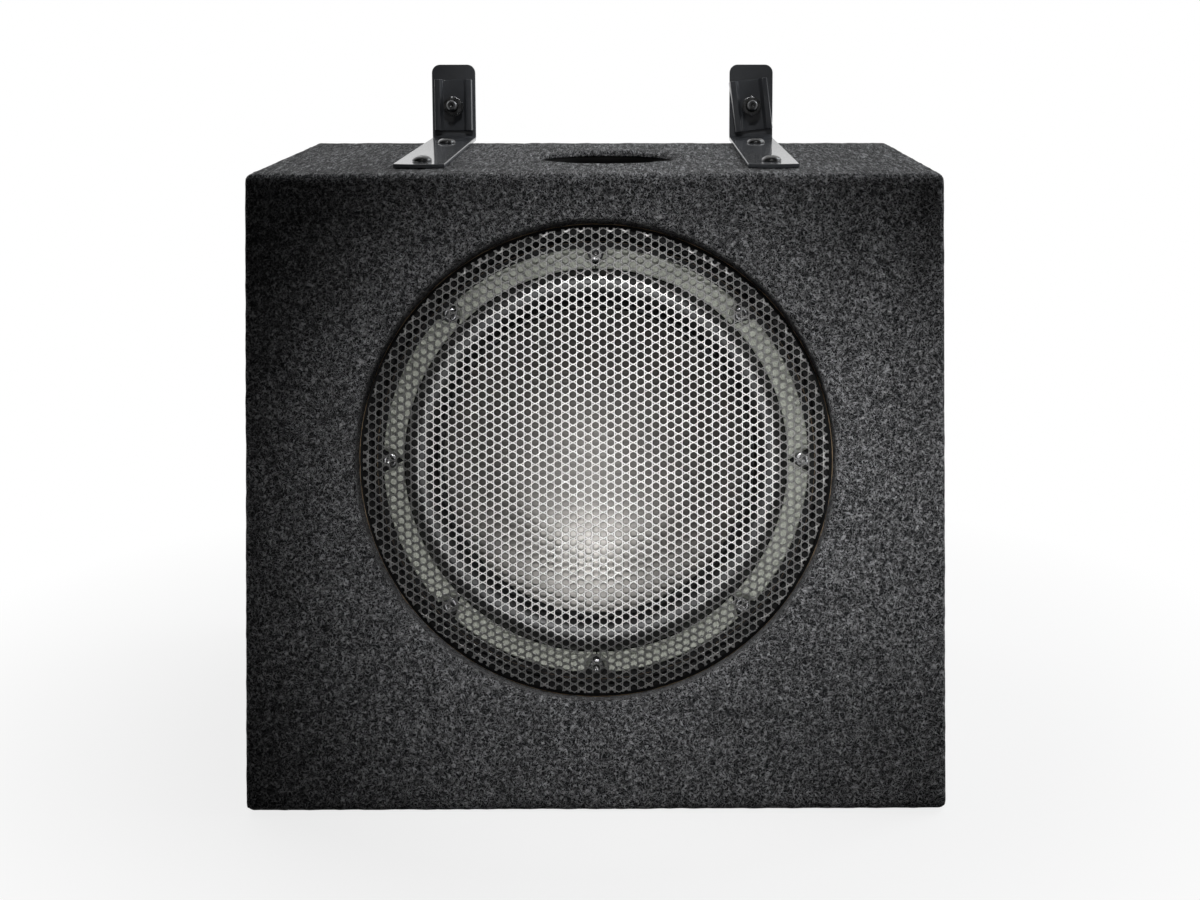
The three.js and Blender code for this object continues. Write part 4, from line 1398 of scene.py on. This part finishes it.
def clampPieces(side, jawTurn):
    place = clampPlaces[side]

    def add(kind, bm, slot, body, turn=0, smoothBelow=40):
        moved(bm, place @ Matrix.Rotation(turn, 4, "Z") if turn else place)
        addPiece(f"clamp{kind.title()}{side.title()}", bm, slot, body, [f"clamp_{kind}_{side}"], smoothBelow)

    stud = [[0, 0.3], [clamp["stud"], 0.3]]
    z, threadTop = clamp["thread"]
    while z < threadTop:
        stud += [[clamp["stud"], z], [clamp["stud"] - 0.45, z + clamp["pitch"] / 2]]
        z += clamp["pitch"]
    stud += [[clamp["stud"], 17.8], [clamp["stud"] - 0.8, 19], [1.3, 19], [1.0, 18.4], [0, 18.1]]
    add("stud", spun(stud, 40, closed=False), "black_screw", "enclosure")

    section = clamp["jawSection"] + [[-across, out] for across, out in reversed(clamp["jawSection"])]
    start = clamp["jawFrom"] * mm
    jaw = extruded(
        [(across * mm, start, out * mm) for across, out in section], (0, clamp["jawLength"] * mm, 0)
    )
    softenEdges(jaw, 0.55, 3, 20)
    add("jaw", jaw, "bracket_steel", f"clamp_jaw_{side}", jawTurn)

    washer = spun(clamp["washerSection"], 48)
    softenEdges(washer, 0.25)
    add("washer", washer, "black_screw", f"clamp_washer_{side}")

    flat = clamp["nutRadius"] * math.cos(math.pi / 6)
    near, far = clamp["nutZs"]

    def chamfered(z, drop):
        def ring(angle):
            point = hexRing(flat * mm, 0)(angle)
            point.z = (z - drop * max(0, point.length / mm - 6.6) * 0.58) * mm
            return point
        return ring

    rings = [
        level(3.9, near), level(6.3, near), chamfered(near, -1), chamfered(far, 1), level(6.3, far),
        level(4.4, far), level(3.9, 10.1), level(3.9, near),
    ]
    nut = bmesh.new()
    ringStack(nut, evenAngles(48), rings)
    bmesh.ops.remove_doubles(nut, verts=nut.verts, dist=1e-6)
    bmesh.ops.recalc_face_normals(nut, faces=nut.faces)
    add("nut", nut, "black_screw", f"clamp_nut_{side}", smoothBelow=30)


for side, jawTurn in (("left", 0), ("right", math.radians(7))):
    bracket(side, clampPlaces[side].translation.x)
    clampPieces(side, jawTurn)
print("scene: brackets ready")


# Port tube

port = {"bore": 44, "wall": 3}


def portTube():
    low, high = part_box("port_tube")
    top, bottom, bore, wall = high.z / mm, low.z / mm, port["bore"], port["wall"]
    profile = [
        [bore + 1.5, bottom], [bore + wall, bottom + 1], [bore + wall, top], [bore + 1.2, top],
        [bore + 0.3, top - 1.5], [bore, top - 4], [bore, bottom + 3], [bore + 0.4, bottom + 0.6],
    ]
    bm = moved(spun(profile, 128), Matrix.Translation((portMiddle.x, portMiddle.y, 0)))
    addPiece("portTube", bm, "port_plastic", "enclosure", ["port_tube"])


portTube()
print("scene: port ready")


# Amplifier: its finned plate, controls and terminals

amp = {
    "soft": 0.5,
    "knobRibs": 24,
    "knobHeight": 11,
    "pointer": (0.9, 4.2),
    "ticks": 11,
    "tickRadii": (9.6, 12),
    "tickProud": 0.12,
    "jackYs": (60, 76),
    "jackBlockFace": 209.8,
    "socketFloor": 206,  # where the jacks and the fuse start, along x
    "terminalRibs": (-21.2, -7, 7, 21.2),
    "terminalScrews": (-14, 0, 14),
}


def acrossFrame(point):  # local z runs out of the right side and local y runs up
    return Matrix.Translation(point) @ Matrix(((0, 0, 1), (-1, 0, 0), (0, 1, 0))).to_4x4()


def copied(node):  # a frame part's own mesh, with its corners joined
    bm = bmesh.new()
    bm.from_mesh(frame["nodes"][node].data)
    bmesh.ops.remove_doubles(bm, verts=bm.verts, dist=1e-5)
    bmesh.ops.dissolve_limit(bm, angle_limit=math.radians(1), verts=bm.verts, edges=bm.edges)
    bmesh.ops.triangulate(bm, faces=bm.faces)
    return bm


def roundedBlock(low, high, soft, segments=3):
    bm = bmesh.new()
    size = [b - a for a, b in zip(low, high)]
    middle = [(a + b) / 2 for a, b in zip(low, high)]
    bmesh.ops.create_cube(
        bm,
        size=1,
        matrix=Matrix.Translation(Vector(middle) * mm) @ Matrix.Diagonal((*[v * mm for v in size], 1)),
    )
    if soft:
        softenEdges(bm, soft, segments)
    return bm


def ampPanel():
    bm = copied("amp_panel")
    softenEdges(bm, amp["soft"], 2, 50)
    addPiece("ampPanel", bm, "amp_alloy", "enclosure", ["amp_panel"], 1)


def knob(name, title):
    low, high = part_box(f"knob_{name}")
    joint = joints[f"{name}_turn"]
    place = acrossFrame(Vector((0, joint["pos_m"][1], joint["pos_m"][2])))
    top = high.x / mm
    base = top - amp["knobHeight"]
    ribs = amp["knobRibs"]

    def ribbed(radius, z):
        def ring(angle):
            reach = radius * (1 - 0.045 * (0.5 + 0.5 * math.cos(ribs * angle)) ** 2)
            return Vector((reach * mm * math.cos(angle), reach * mm * math.sin(angle), z * mm))
        return ring

    rings = [
        circleRing(0.3 * mm, low.x),
        circleRing(3 * mm, low.x + 0.4 * mm),
        level(3, base),
        level(7.1, base),
        level(7.5, base + 0.4),
        level(7.5, base + 1.4),
        ribbed(7.3, base + 1.9),
        ribbed(6.95, top - 1.3),
        ribbed(6.7, top - 0.6),
        level(6.0, top - 0.1),
        level(5.2, top),
        level(4.6, top - 0.35),
        level(0.2, top - 0.5),
    ]
    body = moved(stacked(ribs * 4, rings), place)
    addPiece(f"knob{title}", body, "black_plastic", f"knob_{name}", [f"knob_{name}"], 28)
    half, reach = amp["pointer"][0] / 2, amp["pointer"][1]
    line = roundedBlock((-half, reach - 3.4, top - 0.6), (half, reach + 1.6, top - 0.02), 0.12, 2)
    addPiece(f"pointer{title}", moved(line, place), "zinc_steel", f"knob_{name}")
    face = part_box("power_terminal")[0].x / mm - 0.3
    ticks = []
    for i in range(amp["ticks"]):
        turn = Matrix.Rotation(math.radians(150 - 300 * i / (amp["ticks"] - 1)), 4, "Z")
        near, far = amp["tickRadii"]
        ticks.append(
            moved(roundedBlock((-0.25, near, face - 0.05), (0.25, far, face + amp["tickProud"]), 0), turn)
        )
    addPiece(f"scale{title}", moved(merged(ticks), place), "zinc_steel", "enclosure")


def phaseSwitch():
    low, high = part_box("phase_switch")
    middle = (low + high) / 2 / mm
    x0, x1 = low.x / mm, high.x / mm
    parts = [roundedBlock((x0, middle.y - 2, middle.z - 1.75), (x1, middle.y + 2, middle.z + 1.75), 0.45)]
    for lift in (-0.9, 0, 0.9):
        parts.append(
            roundedBlock(
                (x1 - 0.2, middle.y - 1.5, middle.z + lift - 0.2),
                (x1 + 0.25, middle.y + 1.5, middle.z + lift + 0.2),
                0.08,
                1,
            )
        )
    addPiece("phaseSwitch", merged(parts), "black_plastic", "phase_switch", ["phase_switch"])


def rcaJacks():
    low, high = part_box("rca_jacks")
    block = roundedBlock(
        (low.x / mm, low.y / mm, low.z / mm), (amp["jackBlockFace"], high.y / mm, high.z / mm), 0.6
    )
    addPiece("jackBlock", block, "black_plastic", "enclosure", ["rca_jacks"])
    barrels, sleeves = [], []
    base, tip = amp["socketFloor"], high.x / mm
    for y in amp["jackYs"]:
        place = acrossFrame(Vector((0, y * mm, (low.z + high.z) / 2)))
        barrel = [
            [3.1, base], [4.2, base], [4.2, 213.6], [4.15, tip - 0.5], [3.9, tip], [3.4, tip],
            [3.1, tip - 0.4],
        ]
        sleeve = [
            [1.6, base], [3.05, base], [3.05, tip - 0.5], [2.8, tip - 0.2], [1.9, tip - 0.2],
            [1.6, tip - 0.6],
        ]
        barrels.append(moved(spun(barrel, 40), place))
        sleeves.append(moved(spun(sleeve, 32), place))
    addPiece("jackBarrels", merged(barrels), "zinc_steel", "enclosure")
    addPiece("jackSleeves", merged(sleeves), "black_plastic", "enclosure")


def fuse():
    low, high = (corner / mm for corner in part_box("amp_fuse"))
    y, z = (low.y + high.y) / 2, (low.z + high.z) / 2
    base, top = amp["socketFloor"], high.x
    parts = [
        roundedBlock((base, y - 9.5, z - 2.6), (top - 3, y + 9.5, z + 2.6), 0.6),
        roundedBlock((top - 4, y - 8.2, z - 1.9), (top, y + 8.2, z + 1.9), 0.6),
        roundedBlock((top - 7, y - 3.4, z - 2.9), (top - 3.4, y + 3.4, z + 2.9), 0.3),
    ]
    addPiece("ampFuse", merged(parts), "fuse_plastic", "enclosure", ["amp_fuse"])
    blades = [
        roundedBlock((low.x, side - 2.5, z - 0.4), (base + 0.4, side + 2.5, z + 0.4), 0.15, 1)
        for side in (y - 6, y + 6)
    ]
    addPiece("fuseBlades", merged(blades), "zinc_steel", "enclosure")


def powerTerminal():
    low, high = (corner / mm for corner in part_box("power_terminal"))
    y, z = (low.y + high.y) / 2, (low.z + high.z) / 2
    bm = copied("power_terminal")
    softenEdges(bm, 0.45, 2, 50)
    parts = [bm]
    for side in amp["terminalRibs"]:
        near = (high.x - 3, y + side - 0.8, low.z + 0.3)
        parts.append(roundedBlock(near, (high.x + 1.2, y + side + 0.8, high.z - 0.3), 0.3, 2))
    addPiece("powerTerminal", merged(parts), "black_plastic", "enclosure", ["power_terminal"], 1)
    screws = []
    for side in amp["terminalScrews"]:
        place = acrossFrame(Vector((0, (y + side) * mm, (z + 3) * mm)))
        profile = [
            [0, high.x - 3.2], [2.6, high.x - 3.2], [2.6, high.x - 0.8], [2.2, high.x - 0.4],
            [0, high.x - 0.3],
        ]
        screw = spun(profile, 28, closed=False)
        slot = roundedBlock((-2.3, -0.35, high.x - 1.0), (2.3, 0.35, high.x - 0.26), 0.05, 1)
        screws += [moved(screw, place), moved(slot, place @ Matrix.Rotation(0.6 + side, 4, "Z"))]
    addPiece("terminalScrews", merged(screws), "zinc_steel", "enclosure")


def driverTerminal():
    parts = [roundedBlock((93, -12, -60), (101, 12, -48), 0.8)]
    for side in (-6.5, 6.5):
        parts.append(roundedBlock((94.5, side - 2.4, -67), (95.3, side + 2.4, -59), 0.2, 1))
    bm = merged(parts)
    driverPiece(
        "driverTerminal",
        moved(bm, Matrix.Rotation(-math.pi / 6, 4, "Z")),
        "black_plastic",
        nodes=["driver_terminal"],
    )


ampPanel()
for name, title in (("gain", "Gain"), ("lowpass", "Lowpass"), ("bass_boost", "BassBoost")):
    knob(name, title)
phaseSwitch()
rcaJacks()
fuse()
powerTerminal()
driverTerminal()
print("scene: amplifier ready")


# Damping wadding behind the driver

wadding = {"crown": 0.42, "lumps": ((26, 1.6), (75, 0.7)), "cuts": 30}


def dampingWadding():
    low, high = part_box("damping_wadding")
    middle, half = (low + high) / 2, (high - low) / 2
    bm = bmesh.new()
    bmesh.ops.create_cube(bm, size=2)
    bmesh.ops.subdivide_edges(bm, edges=bm.edges[:], cuts=wadding["cuts"], use_grid_fill=True)
    for vert in bm.verts:
        x, y, z = vert.co
        edge = (1 - abs(x) ** 10) * (1 - abs(z) ** 10)
        plump = 1 - wadding["crown"] * (1 - max(0, edge) ** 0.4)
        pull = 1 - 0.02 * (1 - abs(y))
        lift = sum(
            noise.noise(Vector((x * half.x, y * 0.01, z * half.z)) * scale) * depth
            for scale, depth in wadding["lumps"]
        )
        vert.co = middle + Vector(
            (
                x * half.x * pull * 0.985,
                y * (half.y * plump * 0.9 - 0.6 * mm) + y * lift * mm * 0.5,
                z * half.z * pull * 0.985,
            )
        )
    bmesh.ops.smooth_vert(bm, verts=bm.verts, factor=0.5, use_axis_x=True, use_axis_y=True, use_axis_z=True)
    bmesh.ops.recalc_face_normals(bm, faces=bm.faces)
    obj = addPiece("dampingWadding", bm, "wadding", "enclosure", ["damping_wadding"], 80)


dampingWadding()
print("scene: wadding ready")


# Parts of the frame that keep their own shape

for slot, nodes in (
    (
        "timber",
        [
            "front_baffle", "driver_board", "rear_panel", "left_side_panel", "right_side_panel",
            "top_panel", "bottom_panel",
        ],
    ),
    ("zinc_steel", ["amp_cover"]),
    ("circuit_board", ["amp_circuit_board"]),
    ("copper_wire", ["amp_transformer"]),
):
    for node in nodes:
        finishNode(node, slot)


# Floor

floorSettings = {"reach": 6, "whiteFrom": 0.25, "whiteTo": 0.55, "glow": 0.8}


def makeFloor():
    bm = bmesh.new()
    bmesh.ops.create_grid(bm, x_segments=1, y_segments=1, size=floorSettings["reach"])
    mesh = bpy.data.meshes.new("floor")
    bm.to_mesh(mesh)
    bm.free()
    floor = bpy.data.objects.new("floor", mesh)
    floor.location.z = -0.0005
    scene.collection.objects.link(floor)
    material = bpy.data.materials.new("paleFloor")
    material.use_nodes = True
    tree = material.node_tree
    shader = tree.nodes["Principled BSDF"]
    shader.inputs["Base Color"].default_value = (0.9, 0.9, 0.9, 1)
    shader.inputs["Roughness"].default_value = 0.8
    shader.inputs["Specular IOR Level"].default_value = 0.1
    coordinate = addNode(tree, "ShaderNodeTexCoord")
    away = addNode(tree, "ShaderNodeVectorMath")
    away.operation = "LENGTH"
    link(tree, coordinate.outputs["Object"], away.inputs[0])
    glow = addNode(tree, "ShaderNodeEmission")
    mix = addNode(tree, "ShaderNodeMixShader")
    link(
        tree,
        mapped(
            tree,
            away.outputs["Value"],
            (floorSettings["whiteFrom"], floorSettings["whiteTo"]),
            (floorSettings["glow"], 1),
        ),
        mix.inputs[0],
    )
    link(tree, shader.outputs[0], mix.inputs[1])
    link(tree, glow.outputs[0], mix.inputs[2])
    link(tree, mix.outputs[0], tree.nodes["Material Output"].inputs["Surface"])
    mesh.materials.append(material)
    floor.visible_diffuse = False
    floor.visible_glossy = False


makeFloor()
